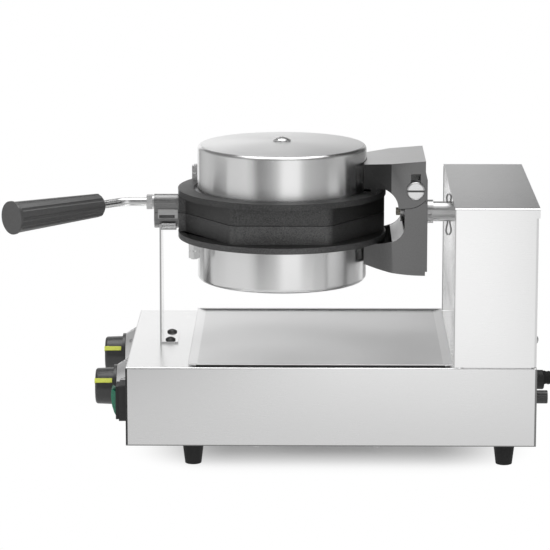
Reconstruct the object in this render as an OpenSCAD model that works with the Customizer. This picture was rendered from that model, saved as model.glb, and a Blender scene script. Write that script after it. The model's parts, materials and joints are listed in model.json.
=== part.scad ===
// A countertop bubble waffle maker.
// Two hexagonal moulds close on each other, each with a round heater chamber on its back.
// The closed pan turns half a turn on a hollow shaft, which a tower at the back carries,
// and its front lugs turn in a saddle. The lid is hinged to the lower bracket by two
// pivot screws in slots, so that it can lift a little as the batter rises.
// X runs from the cook to the tower, Y runs across the machine, Z up from the table.

/* [Base] */
// Length of the base, front to back
base_l = 375; // [345:1:420]
// Width of the base and of the tower
base_w = 250; // [236:1:280]
// Height of the base shell
base_h = 73.5; // [68:0.5:85]
// Thickness of the folded sheet
sheet = 1.2; // [0.8:0.1:1.5]
// Outside radius of the folded edges
fold_r = 2; // [1.6:0.1:3]
// Length of a vent slot in the bottom plate
vent_l = 46; // [30:1:60]
// Width of a vent slot, here and in the rear cover
vent_w = 4; // [3:0.5:6]
// Pitch of the vent slots
vent_pitch = 10; // [8:1:14]

/* [Feet] */
// Height of a rubber foot
foot_h = 20.5; // [16:0.5:28]
// Diameter of a foot where it meets the base
foot_top_d = 20; // [17:0.5:26]
// Diameter of a foot at the table
foot_tip_d = 15; // [13:0.5:17]
// Depth of the screw recess in a foot
foot_recess = 12; // [8:0.5:14]
// From the front of the base to the front feet
foot_front = 61; // [40:1:90]
// From the back of the base to the rear feet
foot_rear = 28; // [20:1:60]
// From the sides of the base to the feet
foot_side = 18; // [15:1:30]

/* [Tower] */
// Length of the tower's side walls
tower_l = 73.3; // [68:0.1:85]
// Height of the tower above the base
tower_h = 147.5; // [142:0.5:165]
// From the back of the base to the back edge of the side walls
tower_set = 2.8; // [2:0.1:6]
// Depth of the front plate behind the side walls' front edges
tower_recess = 6.7; // [4:0.1:12]
// Gap that shows between the tower and the base
tower_seam = 0.6; // [0.4:0.1:0.9]
// Depth of the rear cover's folded rim
rear_cover_d = 2; // [1.6:0.1:3]
// Height of the lip that the tower's top folds down over the rear cover
lip_h = 9; // [6:0.5:14]

/* [Pan] */
// How far the middle of the pan lies ahead of the middle of the base
pan_lead = 46; // [42:0.5:52]
// Height of the shaft's axis above the base
axis_rise = 122.5; // [118:0.5:130]
// Width of a mould across its flats
mould_w = 158; // [154:1:162]
// Length of a mould from its front corner to its rear corner
mould_l = 197; // [190:1:198]
// Length of a mould's two flats
mould_flat = 91; // [84:1:96]
// Thickness of a mould, from the split to the round flange
mould_t = 17.5; // [16.5:0.5:20]
// Radius of the mould's upright corners
mould_corner_r = 10; // [6:0.5:14]
// Gap between the closed moulds
seam_gap = 0.4; // [0.3:0.1:0.6]
// Distance between neighbouring bubbles
bubble_pitch = 22.6; // [22:0.1:22.8]
// Diameter of the ball that cuts a bubble
bubble_d = 20; // [17:0.5:21]
// Bubbles along one side of the hexagon
bubbles_side = 4; // [3:1:4]
// Depth of the web between the bubbles, in each mould
web_depth = 2.3; // [2.1:0.1:2.6]
// Width of the rim round the batter space
rim_w = 8; // [6:0.5:9]
// Diameter of the round flange
flange_d = 195.6; // [192:0.2:199]
// Thickness of the round flange
flange_t = 5.6; // [5:0.1:6.5]
// Depth of the recess that the chamber cover stands in
recess_d = 4; // [3:0.1:4.4]

/* [Heater chambers] */
// Outside diameter of a chamber cover
cover_d = 159; // [154:0.5:160]
// Height of a chamber cover above the round flange
cover_rise = 40.7; // [34:0.1:44]
// Thickness of a chamber cover
cover_t = 1; // [0.8:0.1:1.4]
// Height of the low crown on a chamber cover
cover_crown = 3.3; // [1:0.1:6]
// Radius of the cover's top edge
cover_edge_r = 4; // [3:0.5:7]
// Width of the cover's foot flange
cover_foot_w = 3.4; // [2:0.1:3.6]
// Diameter of the tubular heating element
element_d = 6.6; // [6:0.1:8.5]
// Diameter of the element's ring, tube middle to tube middle
element_ring_d = 110; // [90:1:120]
// Thickness of the fibre mat over the element
mat_t = 20; // [10:1:24]
// Diameter of the bolt head on a chamber cover
cover_bolt_d = 15.5; // [12:0.5:18]
// Height of that bolt's round head
cover_bolt_h = 2.4; // [2:0.1:5]
// Diameter of the earth stud on each round flange
stud_d = 5.8; // [5:0.1:6]
// Angle of the earth stud, from the tower's side
stud_angle = 154; // [148:1:165]

/* [Lugs and handle] */
// From the middle of the pan to the end of the front lugs
lug_reach = 120.2; // [117:0.1:124]
// Diameter of a lug's boss
lug_d = 15; // [13:0.1:16]
// Height of a boss's middle above the split
lug_rise = 8.6; // [8.2:0.1:9]
// Width of the web between a boss and the split
lug_web = 18.4; // [15:0.1:20]
// Diameter of the handle's rod
rod_d = 8; // [7:0.1:9]
// From the lugs' end to the rod's bend
rod_run = 29.7; // [26:0.1:40]
// Bend of the handle, to the cook's right
handle_bend = 42; // [30:1:50]
// Radius of the bend
bend_r = 20; // [14:1:24]
// From the bend's corner to the end of the grip
grip_reach = 130; // [120:1:150]
// Length of the grip
grip_l = 103; // [90:1:110]
// Diameter of the grip at the rod
grip_root_d = 22; // [19:0.5:25]
// Diameter of the grip next to its end rim
grip_wide_d = 29; // [26:0.5:30]
// Diameter of the grip's end rim
grip_end_d = 30.8; // [30.2:0.1:34]
// Number of ridges round the grip
grip_ridges = 10; // [8:1:14]
// Thickness of the clip beside the lugs
clip_t = 1.6; // [1:0.1:2]

/* [Hinge brackets] */
// From the middle of the pan back to the lid's pivot
pivot_back = 124.3; // [122:0.1:127]
// Height of the lid's pivot above the shaft's axis
pivot_rise = 27.9; // [27.5:0.1:29]
// Width of the brackets at the pivot
bracket_w = 94.4; // [90:0.2:100]
// Width of the brackets at the pan
bracket_front_w = 70; // [64:1:76]
// Thickness of the brackets' plate
bracket_t = 2.5; // [2:0.1:3]
// From the pivot forward to the brackets' front edge
bracket_reach = 47.5; // [46.5:0.1:48.5]
// From the pivot back to the brackets' rear edge
bracket_back = 9.3; // [9:0.1:9.8]
// Height of the upper bracket above the pivot
bracket_top = 27.3; // [25:0.1:29]
// Radius of the upper bracket's heel
heel_r = 23; // [22:0.1:24]
// Gap between the heel and the lower bracket
heel_gap = 0.5; // [0.4:0.1:0.8]
// Diameter of the pivot screws' shoulder
pivot_d = 8.9; // [7.5:0.1:9]
// Width of the slot for the shoulder
slot_w = 9.1; // [9.1:0.1:9.6]
// How far the lid can lift on the pivot screws
lid_float = 3.5; // [2.5:0.1:3.8]
// From the pivot to the top of the slot
slot_top = 15.2; // [12:0.1:18]
// Diameter of the pivot screws' heads
pivot_head_d = 17; // [14:0.5:18]

/* [Shaft] */
// Outside diameter of the hollow shaft
shaft_d = 18.7; // [16:0.1:20]
// Bore of the hollow shaft
shaft_bore = 13; // [10:0.5:14]
// Outside diameter of the locking collar
collar_d = 22; // [21:0.5:26]
// Length of the locking collar
collar_l = 6.9; // [5:0.1:9]
// From the brackets' back plate to the split pin
pin_back = 21.8; // [15:0.1:22.5]
// Diameter of the split pin
split_pin_d = 3.2; // [2.5:0.1:4]
// Radial running clearance of the shaft in its bushes
run_gap = 0.05; // [0.03:0.01:0.1]

/* [Front rest] */
// From the middle of the pan to the upright's front face
upright_reach = 114.6; // [113:0.1:116]
// Width of the upright
upright_w = 51; // [44:1:60]
// Length of the upright's foot flange
upright_foot = 17.2; // [16:0.1:19]
// Thickness of the upright's sheet
upright_t = 1.6; // [1.2:0.1:2]
// Length of the saddle
saddle_l = 15; // [12:0.5:16]
// Half of the angle that the saddle spans
saddle_half = 55; // [45:1:70]
// Clearance of the lugs in the saddle
saddle_gap = 0.4; // [0.3:0.1:0.6]

/* [Drip tray] */
// Length of the tray, front to back
tray_l = 241.3; // [225:0.1:244]
// Width of the tray, side to side
tray_w = 246; // [230:1:248]
// Height of the tray's rim above the base
tray_h = 2.8; // [2.6:0.1:4]
// Thickness of the tray's sheet
tray_t = 0.8; // [0.6:0.1:1]
// Width of the sloping walls at the front and the back
tray_slope = 8.3; // [5:0.1:12]
// Overhang of the rim at the two sides
tray_rim = 2.6; // [1.5:0.1:4]

/* [Controls] */
// Distance of each knob from the middle
knob_y = 67; // [64:1:70]
// Height of the knobs above the underside of the base
knob_z = 42.3; // [36:0.1:45]
// Diameter of a knob
knob_d = 34.6; // [30:0.1:38]
// Length of a knob
knob_l = 19.8; // [16:0.1:24]
// Height of the dial ring, which the knob stands behind
dial_h = 10.8; // [8:0.1:12]
// Diameter of the dial ring at the panel
dial_d = 54; // [50:0.5:54]
// Diameter of the dial ring at its face
dial_face_d = 40.5; // [40.2:0.1:44]
// Angle of the pointers, clockwise from straight up
pointer_angle = 60; // [0:5:120]
// Distance of the switch's middle from the panel's side edge
switch_y = 17; // [16:0.1:17.5]
// Height of the switch's middle above the underside of the base
switch_z = 38.4; // [34:0.1:42]
// Height of the switch's bezel
switch_h = 34.2; // [33:0.1:36]
// Width of the switch's bezel
switch_w = 25; // [22:0.5:26]
// Distance of the reset cap's middle from the rear's side edge
reset_y = 42; // [30:1:65]
// How far the reset cap stands out
reset_out = 13; // [11:0.1:16]
// Diameter of the reset cap
reset_d = 12.4; // [11.8:0.1:15]

/* [Mains lead] */
// Diameter of the mains lead
cord_d = 7.2; // [6.5:0.1:7.3]
// Diameter of the cable gland
gland_d = 18.4; // [16:0.1:20]
// How far the gland stands out
gland_out = 15; // [12:0.5:18]
// Distance of the gland from the middle
gland_y = 14; // [5:1:25]
// Turns of the coil
coil_turns = 6.25; // [4.25:1:8.25]
// Radius of the coil's middle turn
coil_mid_r = 40; // [38:0.5:44]
// Distance between the coil's turns, across and up
coil_pitch = 7.9; // [7.8:0.1:8.6]

/* [Hidden] */
$fn = 64;

// Overrun of a cut past the face that it leaves
over = 1;
// Gap between two pieces of one body that seat on each other
seat = 0.05;
// Gap between two bodies
clear = 0.3;

// The origin lies under the middle of the machine, from the grip's tip to the reset cap
tip_reach = pan_lead + lug_reach + rod_run + grip_reach * cos(handle_bend)
    + grip_end_d / 2 * sin(handle_bend);
base_x = (tip_reach - base_l / 2 - reset_out) / 2;
front_x = base_x - base_l / 2;
back_x = base_x + base_l / 2;
base_z = foot_h;
deck_z = base_z + base_h;
axis_z = deck_z + axis_rise;

tower_x1 = back_x - tower_set;
tower_x0 = tower_x1 - tower_l;
front_plate_x = tower_x0 + tower_recess;

pan_x = base_x - pan_lead;
pivot_x = pan_x + pivot_back;
pivot_z = axis_z + pivot_rise;

// Heights above the split, for either half of the pan
recess_z = mould_t + flange_t - recess_d;
flange_z = mould_t + flange_t;
switch_mid = base_w / 2 - switch_y;
reset_mid = base_w / 2 - reset_y;
cover_z = flange_z + cover_rise;
cover_top = cover_z + cover_crown;
cover_r = cover_d / 2;
lug_r = lug_rise + lug_d / 2;
saddle_r = lug_r + saddle_gap;

// Fasteners and their sizes
m6_d = 6;
m6_head_d = 10;
m6_head_h = 4;
nut_flats = 10;
nut_h = 6.4;
screw_head_d = 9.4;
screw_head_h = 3;
screw_d = 4;
screw_l = 8;

// Points of an arc round the point c, from angle a0 to angle a1
function arc(c, r, a0, a1, n = 10) =
    [for (i = [0:n]) c + r * [cos(a0 + (a1 - a0) * i / n), sin(a0 + (a1 - a0) * i / n)]];

// A flat outline drawn as (y, z), carried along X
module along_x(x0, x1) translate([x0, 0, 0]) rotate([90, 0, 90]) linear_extrude(x1 - x0) children();
// A flat outline drawn as (x, z), carried along Y
module along_y(y0, y1) translate([0, y1, 0]) rotate([90, 0, 0]) linear_extrude(y1 - y0) children();
// The children, and their mirror image on the other side of the middle
module both_sides() for (m = [0, 1]) mirror([0, m, 0]) children();

// A box outline with its two top corners rounded, standing on the first axis
module arch(w, h, r) {
    translate([-w / 2, 0]) square([w, h - r]);
    translate([r - w / 2, 0]) square([w - 2 * r, h]);
    for (s = [-1, 1]) translate([s * (w / 2 - r), h - r]) circle(r);
}

// A rectangle with four rounded corners, about its middle
module rounded(w, h, r) {
    square([w, h - 2 * r], center = true);
    square([w - 2 * r, h], center = true);
    for (i = [-1, 1], j = [-1, 1]) translate([i * (w / 2 - r), j * (h / 2 - r)]) circle(r);
}

// A slot with round ends, about its middle, its length along the first axis
module slot(l, w) {
    square([l - w, w], center = true);
    for (i = [-1, 1]) translate([i * (l - w) / 2, 0]) circle(d = w);
}

// A hexagon with two corners on the first axis, as a polygon of the given width across flats
module hexagon(flats) circle(d = flats / cos(30), $fn = 6);

// The corners of a mould's hexagon, drawn in by a rim's width
mould_lean = atan((mould_l - mould_flat) / mould_w);
function mould_corners(rim) =
    let (tip = mould_l / 2 - rim / cos(mould_lean), side = mould_w / 2 - rim, flat = tip - side * tan(mould_lean))
    [[tip, 0], [flat, side], [-flat, side], [-tip, 0], [-flat, -side], [flat, -side]];
// The arc in the corner b, between its neighbours a and c, drawn with a few points
corner_steps = 6;
function round_corner(a, b, c, r) =
    let (u = unit(a - b), v = unit(c - b), half = acos(u * v) / 2, start = atan2(u[0], -u[1]))
    arc(b + unit(u + v) * r / sin(half), r, start, start + 180 - 2 * half, corner_steps);
module mould_outline(rim) {
    p = mould_corners(rim);
    polygon([for (i = [0:5]) each round_corner(p[(i + 5) % 6], p[i], p[(i + 1) % 6], mould_corner_r)]);
}

// A low round screw head over a shank, along Z, seated at zero
module dome_screw(head_d, head_h, d, l) {
    rotate_extrude() {
        square([head_d / 2, head_h / 3]);
        intersection() {
            translate([0, head_h / 3]) dome(head_d / 2, head_h * 2 / 3);
            square([head_d / 2, head_h]);
        }
    }
    translate([0, 0, -l]) cylinder(d = d, h = l + head_h / 3);
}

// The segment of a circle that is r wide from its middle and h high
module dome(r, h) {
    ball = (r * r + h * h) / (2 * h);
    translate([0, h - ball]) circle(ball);
}

// A sheet box that is open below, its folded edges round
module folded_box(l, w, h, r) {
    intersection() {
        along_x(-l / 2, l / 2) arch(w, h, r);
        along_y(-w / 2, w / 2) arch(l, h, r);
    }
}

// The base

feet_xy = [for (x = [front_x + foot_front, back_x - foot_rear], s = [-1, 1])
    [x, s * (base_w / 2 - foot_side)]];
upright_x = pan_x - upright_reach;
upright_screw_x = upright_x + upright_foot * 5 / 9;
upright_screw_y = upright_w / 3;
bushing_d = 10;
cutout_w = switch_w - 3;
cutout_h = switch_h - 3;
wire_hole_l = 60;
wire_hole_w = 30;
wire_hole_x = tower_x0 + tower_l / 2;
gland_z = base_z + base_h / 2;
reset_neck_d = 8.6;

module base_shell() color([0.84, 0.85, 0.86]) difference() {
    translate([base_x, 0, base_z]) difference() {
        folded_box(base_l, base_w, base_h, fold_r);
        translate([0, 0, -over])
            folded_box(base_l - 2 * sheet, base_w - 2 * sheet, base_h - sheet + over, fold_r - sheet);
    }
    for (s = [-1, 1]) translate([front_x - over, s * knob_y, base_z + knob_z]) rotate([0, 90, 0])
        cylinder(d = bushing_d + 2 * seat, h = sheet + 2 * over);
    translate([front_x, -switch_mid, base_z + switch_z]) cube([2 * (sheet + over), cutout_w, cutout_h], center = true);
    translate([back_x - sheet - over, -gland_y, gland_z]) rotate([0, 90, 0])
        cylinder(d = gland_d * 3 / 4, h = sheet + 2 * over);
    translate([back_x - sheet - over, -reset_mid, gland_z]) rotate([0, 90, 0])
        cylinder(d = reset_neck_d + 2 * seat, h = sheet + 2 * over);
    translate([wire_hole_x, 0, deck_z - sheet - over]) linear_extrude(sheet + 2 * over)
        rotate(90) slot(wire_hole_l, wire_hole_w);
    for (s = [-1, 1]) translate([upright_screw_x, s * upright_screw_y, deck_z - sheet - over])
        cylinder(d = screw_d + 2 * seat, h = sheet + 2 * over);
}

module bottom_plate() color([0.7, 0.71, 0.72]) difference() {
    translate([front_x + sheet + seat, sheet + seat - base_w / 2, base_z])
        cube([base_l - 2 * (sheet + seat), base_w - 2 * (sheet + seat), sheet]);
    for (p = feet_xy) translate([p[0], p[1], base_z - over]) cylinder(d = screw_d + 2 * seat, h = sheet + 2 * over);
    for (i = [-4:4], s = [-1, 1])
        translate([base_x + i * vent_pitch, s * base_w / 5, base_z - over]) linear_extrude(sheet + 2 * over)
            rotate(90) slot(vent_l, vent_w);
}

module rubber_feet() color([0.08, 0.08, 0.08]) for (p = feet_xy) translate([p[0], p[1], 0]) difference() {
    cylinder(d1 = foot_tip_d, d2 = foot_top_d, h = foot_h);
    translate([0, 0, -over]) cylinder(d = screw_head_d, h = foot_recess + over);
    cylinder(d = screw_d + 2 * seat, h = foot_h + over);
}

module foot_screws() color([0.6, 0.6, 0.62]) for (p = feet_xy) translate([p[0], p[1], foot_recess]) mirror([0, 0, 1])
    dome_screw(screw_head_d - clear, screw_head_h, screw_d, foot_h - foot_recess + sheet + screw_l);

// The tower

tower_in_w = base_w - 2 * sheet;
flange_w = 12;
lip_x = tower_x1 + rear_cover_d + 2 * seat + seat;

module tower_cover() color([0.84, 0.85, 0.86]) {
    difference() {
        along_x(tower_x0, tower_x1) translate([0, deck_z]) arch(base_w, tower_h, fold_r);
        along_x(tower_x0 - over, tower_x1 + over) translate([0, deck_z - over])
            arch(tower_in_w, tower_h - sheet + over, fold_r - sheet);
        translate([tower_x0 - over, -base_w / 2 - over, deck_z - over])
            cube([tower_l + 2 * over, base_w + 2 * over, tower_seam + over]);
    }
    // The top runs on over the rear cover and folds down behind it
    difference() {
        along_x(tower_x1 - seat, lip_x + sheet) translate([0, deck_z]) arch(base_w, tower_h, fold_r);
        along_x(tower_x1 - over, lip_x) translate([0, deck_z - over])
            arch(tower_in_w, tower_h - sheet + over, fold_r - sheet);
        translate([tower_x1 - over, -base_w / 2 - over, deck_z - over])
            cube([lip_x + sheet - tower_x1 + 2 * over, base_w + 2 * over, tower_h - lip_h + over]);
    }
    // Flanges turned inwards stand on the base
    both_sides() translate([tower_x0 + tower_recess + 2 * sheet, base_w / 2 - flange_w, deck_z])
        cube([tower_l - tower_recess - 4 * sheet, flange_w - sheet + seat, sheet]);
}

module tower_front_plate() color([0.78, 0.79, 0.8]) difference() {
    translate([front_plate_x, seat - tower_in_w / 2, deck_z + seat])
        cube([sheet, tower_in_w - 2 * seat, tower_h - sheet - 2 * seat]);
    translate([front_plate_x - over, 0, axis_z]) rotate([0, 90, 0]) cylinder(d = shaft_d + 4 * clear, h = sheet + 2 * over);
}

rear_cover_x = tower_x1 + seat;
rear_cover_h = tower_h - sheet - tower_seam - 2 * seat;
rear_cover_w = base_w - 2 * sheet;
rear_screw_in = 7;
rear_screw_up = 24.5;
rear_screws_yz = [for (s = [-1:1]) [s * (rear_cover_w / 2 - rear_screw_in), deck_z + tower_seam + rear_screw_up]];

module tower_rear_cover() color([0.82, 0.83, 0.84]) difference() {
    translate([rear_cover_x, -rear_cover_w / 2, deck_z + tower_seam])
        cube([rear_cover_d, rear_cover_w, rear_cover_h]);
    translate([rear_cover_x - over, sheet - rear_cover_w / 2, deck_z + tower_seam + sheet])
        cube([rear_cover_d - sheet + over, rear_cover_w - 2 * sheet, rear_cover_h - 2 * sheet]);
    for (i = [-4:4], s = [-1, 1])
        along_x(rear_cover_x - over, rear_cover_x + rear_cover_d + over)
            translate([s * base_w / 5, deck_z + tower_h / 2 + i * vent_pitch]) slot(vent_l, vent_w);
    for (p = rear_screws_yz) translate([rear_cover_x - over, p[0], p[1]]) rotate([0, 90, 0])
        cylinder(d = screw_d + 2 * seat, h = rear_cover_d + 2 * over);
}

module rear_cover_screws() color([0.6, 0.61, 0.62]) for (p = rear_screws_yz)
    translate([rear_cover_x + rear_cover_d, p[0], p[1]]) rotate([0, 90, 0])
        dome_screw(screw_head_d * 3 / 4, screw_head_h * 2 / 3, screw_d, screw_l);

cheek_t = 3;
cheek_w = 64;
cheek_x = [front_plate_x + 2 * sheet, tower_x1 - 6 * cheek_t];
cheek_r = 24;
bush_d = 28;
bush_flange_d = 34;
bush_flange_t = 2;
bush_l = 12;
stop_pin_d = 8;
stop_arm_t = 8;
stop_r = 21;

module bearing_bracket() color([0.55, 0.56, 0.58]) difference() {
    union() {
        translate([cheek_x[0], -cheek_w / 2, deck_z + seat]) cube([cheek_x[1] + cheek_t - cheek_x[0], cheek_w, cheek_t]);
        for (x = cheek_x) along_x(x, x + cheek_t) translate([0, deck_z + seat])
            arch(cheek_w, tower_h - sheet - 2 * clear, cheek_r);
        // Two pins stop the shaft's arm after half a turn below them
        for (s = [-1, 1])
            translate([cheek_x[1] - bush_l * 2 - seat, s * stop_r, axis_z + (stop_pin_d + stop_arm_t) / 2 + seat * 2])
                rotate([0, 90, 0]) cylinder(d = stop_pin_d, h = bush_l * 2 + cheek_t);
    }
    for (x = cheek_x) translate([x - over, 0, axis_z]) rotate([0, 90, 0]) cylinder(d = bush_d + 2 * seat, h = cheek_t + 2 * over);
    translate([wire_hole_x, 0, deck_z - over]) linear_extrude(cheek_t + 2 * over + seat)
        rotate(90) slot(wire_hole_l - cheek_w / 2, wire_hole_w / 2);
}

module shaft_bushes() color([0.72, 0.6, 0.32]) for (i = [0, 1]) translate([cheek_x[i] + cheek_t, 0, axis_z])
    rotate([0, 90, 0]) difference() {
        union() {
            translate([0, 0, -cheek_t]) cylinder(d = bush_d, h = bush_l - bush_flange_t);
            translate([0, 0, seat]) cylinder(d = bush_flange_d, h = bush_flange_t);
        }
        translate([0, 0, -cheek_t - over]) cylinder(d = shaft_d + 2 * run_gap, h = bush_l + 2 * over);
    }

// The front rest: a sheet upright with a saddle on its top edge

module front_upright() color([0.82, 0.83, 0.84]) difference() {
    union() {
        // The foot flange and the upright, one folded sheet
        translate([upright_x, -upright_w / 2, deck_z]) cube([upright_foot, upright_w, upright_t]);
        along_x(upright_x, upright_x + upright_t) polygon([
            [-upright_w / 2, deck_z], [upright_w / 2, deck_z],
            [saddle_r + 2 * upright_t, axis_z - saddle_r * cos(saddle_half)],
            [-saddle_r - 2 * upright_t, axis_z - saddle_r * cos(saddle_half)]]);
        // The saddle
        translate([upright_x, 0, axis_z]) rotate([0, 90, 0]) rotate(-saddle_half)
            rotate_extrude(angle = 2 * saddle_half) translate([saddle_r, 0]) square([upright_t, saddle_l]);
    }
    translate([upright_x - over, 0, axis_z]) rotate([0, 90, 0]) cylinder(r = saddle_r, h = upright_t + 2 * over);
    for (s = [-1, 1]) translate([upright_screw_x, s * upright_screw_y, deck_z - over])
        cylinder(d = screw_d + 2 * seat, h = upright_t + 2 * over);
}

module upright_screws() color([0.5, 0.5, 0.52]) for (s = [-1, 1])
    translate([upright_screw_x, s * upright_screw_y, deck_z + upright_t]) dome_screw(screw_head_d, screw_head_h, screw_d, screw_l);

// The controls. A piece on the front panel is drawn with Z out of the panel and X up.

module on_panel(y, z) translate([front_x, y, z]) rotate([0, -90, 0]) children();

spindle_d = 6;
knob_skirt_d = 40;
knob_skirt_t = 2.6;
knob_edge_r = 2.4;
knob_taper = 0.7;
knob_z0 = dial_h + clear;
knob_z1 = knob_z0 + knob_l;
pointer_w = 4.3;
pointer_deep = 1.2;
pointer_proud = 0.3;
pointer_l = 16;
dial_wall = 1.5;
thermostat_size = [42, 36, 24];
timer_size = [46, 46, 32];

module control_body(y, size) on_panel(y, base_z + knob_z) difference() {
    union() {
        translate([0, 0, -sheet - seat - size[2] / 2]) cube([size[0], size[1], size[2]], center = true);
        translate([0, 0, -sheet - over]) cylinder(d = bushing_d, h = sheet + over + dial_h / 2);
    }
    translate([0, 0, -sheet - size[2] / 2]) cylinder(d = spindle_d + 2 * run_gap, h = size[2] + dial_h);
}
module thermostat_body() color([0.75, 0.75, 0.73]) control_body(knob_y, thermostat_size);
module timer_body() color([0.3, 0.3, 0.32]) control_body(-knob_y, timer_size);

// A cone ring that carries the scale
module dial_ring(y) on_panel(y, base_z + knob_z) difference() {
    cylinder(d1 = dial_d, d2 = dial_face_d, h = dial_h);
    translate([0, 0, -dial_wall]) cylinder(d1 = dial_d - 2 * dial_wall, d2 = dial_face_d - 2 * dial_wall, h = dial_h);
    cylinder(d = bushing_d + 2 * clear, h = dial_h + over);
}
module thermostat_dial() color([0.88, 0.88, 0.88]) dial_ring(knob_y);
module timer_dial() color([0.88, 0.88, 0.88]) dial_ring(-knob_y);

module pointer_bars(grow) {
    // Along the knob's side
    translate([knob_d / 2 - knob_taper - pointer_deep - grow, -pointer_w / 2 - grow, knob_z1 - pointer_l - grow])
        cube([pointer_deep + knob_taper + pointer_proud + 2 * grow, pointer_w + 2 * grow, pointer_l + pointer_proud + 2 * grow]);
    // Across its face
    translate([knob_d / 4, -pointer_w / 2 - grow, knob_z1 - pointer_deep - grow])
        cube([knob_d / 4 - knob_taper, pointer_w + 2 * grow, pointer_deep + pointer_proud + 2 * grow]);
}

module control_knob(y) on_panel(y, base_z + knob_z) rotate(-pointer_angle) difference() {
    rotate_extrude() difference() {
        union() {
            translate([0, knob_z0]) square([knob_skirt_d / 2, knob_skirt_t]);
            polygon([[0, knob_z0], [knob_d / 2, knob_z0],
                [knob_d / 2 - knob_taper, knob_z1 - knob_edge_r], [0, knob_z1 - knob_edge_r]]);
            translate([0, knob_z1 - 2 * knob_edge_r])
                square([knob_d / 2 - knob_taper - knob_edge_r, 2 * knob_edge_r]);
            translate([knob_d / 2 - knob_taper - knob_edge_r, knob_z1 - knob_edge_r]) circle(knob_edge_r);
        }
        square([spindle_d / 2 + seat, knob_z1 - 2 * knob_edge_r]);
    }
    pointer_bars(seat);
}
module thermostat_knob() color([0.1, 0.1, 0.1]) control_knob(knob_y);
module timer_knob() color([0.1, 0.1, 0.1]) control_knob(-knob_y);

module knob_pointer(y) on_panel(y, base_z + knob_z) rotate(-pointer_angle) pointer_bars(0);
module thermostat_pointer() color([0.83, 0.86, 0.3]) knob_pointer(knob_y);
module timer_pointer() color([0.83, 0.86, 0.3]) knob_pointer(-knob_y);

module control_spindle(y, size) on_panel(y, base_z + knob_z)
    translate([0, 0, seat - sheet - size[2] / 2]) cylinder(d = spindle_d, h = knob_z1 - 2 * knob_edge_r - 2 * seat + sheet + size[2] / 2);
module thermostat_spindle() color([0.7, 0.7, 0.7]) control_spindle(knob_y, thermostat_size);
module timer_spindle() color([0.7, 0.7, 0.7]) control_spindle(-knob_y, timer_size);

bezel_out = 6.5;
frame_out = 9.4;
bezel_r = 3;
well_h = 28.4;
well_inset = 7;
well_w = switch_w - well_inset;
frame_wall = 1.4;
rocker_pivot = 8;
rocker_w = well_w - 2 * clear;
rocker_h = 25.6;
// The rocker's face, as shares of its height and of its height above the pivot
rocker_high = 5.8;
trunnion = 1;
trunnion_d = 2.8;
rocker_face_shares = [[0.5, 0.9], [0.24, 1], [-0.12, 0.83], [-0.37, 0.5], [-0.5, 0.17]];

module switch_housing() color([0.09, 0.09, 0.09]) on_panel(-switch_mid, base_z + switch_z) difference() {
    union() {
        linear_extrude(bezel_out) rounded(switch_h, switch_w, bezel_r);
        linear_extrude(frame_out) rounded(well_h + 2 * frame_wall, well_w + 2 * frame_wall, frame_wall);
        translate([0, 0, -sheet - 2 * bezel_out]) linear_extrude(sheet + 2 * bezel_out + over)
            square([cutout_h - 2 * seat, cutout_w - 2 * seat], center = true);
    }
    translate([0, 0, -sheet]) linear_extrude(frame_out + sheet + over) square([well_h, well_w], center = true);
    translate([0, -rocker_w / 2 - trunnion - seat, rocker_pivot]) rotate([-90, 0, 0])
        cylinder(d = trunnion_d + 2 * run_gap, h = rocker_w + 2 * (trunnion + seat));
}

module rocker() color([0.1, 0.36, 0.26]) on_panel(-switch_mid, base_z + switch_z) {
    along_y(-rocker_w / 2, rocker_w / 2) polygon(concat(
        [for (p = rocker_face_shares) [p[0] * rocker_h, rocker_pivot + p[1] * rocker_high]],
        [[-rocker_h / 4, rocker_high / 2], [rocker_h / 4, rocker_high / 2]]));
    translate([0, -rocker_w / 2 - trunnion, rocker_pivot]) rotate([-90, 0, 0]) cylinder(d = trunnion_d, h = rocker_w + 2 * trunnion);
}

terminal_ways = 5;
terminal_pitch = 12;
terminal_w = 16;
terminal_h = 8;
terminal_wall = 4;
terminal_back = 46;
// A block of screw terminals with a wall between each two ways
module terminal_block() color([0.85, 0.83, 0.78])
    translate([back_x - terminal_back, -base_w / 5, base_z + sheet + seat]) difference() {
        union() {
            cube([terminal_w, terminal_ways * terminal_pitch + terminal_wall, terminal_h]);
            for (i = [0:terminal_ways]) translate([0, i * terminal_pitch, 0])
                cube([terminal_w, terminal_wall, 2 * terminal_h]);
        }
        for (i = [0:terminal_ways - 1])
            translate([terminal_w / 2, (i + 0.5) * terminal_pitch + terminal_wall / 2, terminal_h / 2])
                cylinder(d = screw_d, h = terminal_h);
    }

limit_body_l = 22;
limit_body_d = 24;
reset_neck_out = 7;
reset_button_d = 4.6;
reset_button_out = 2.6;
reset_wall = 1.3;
reset_ribs = 16;
module at_reset() translate([back_x, -reset_mid, gland_z]) rotate([0, 90, 0]) children();

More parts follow.
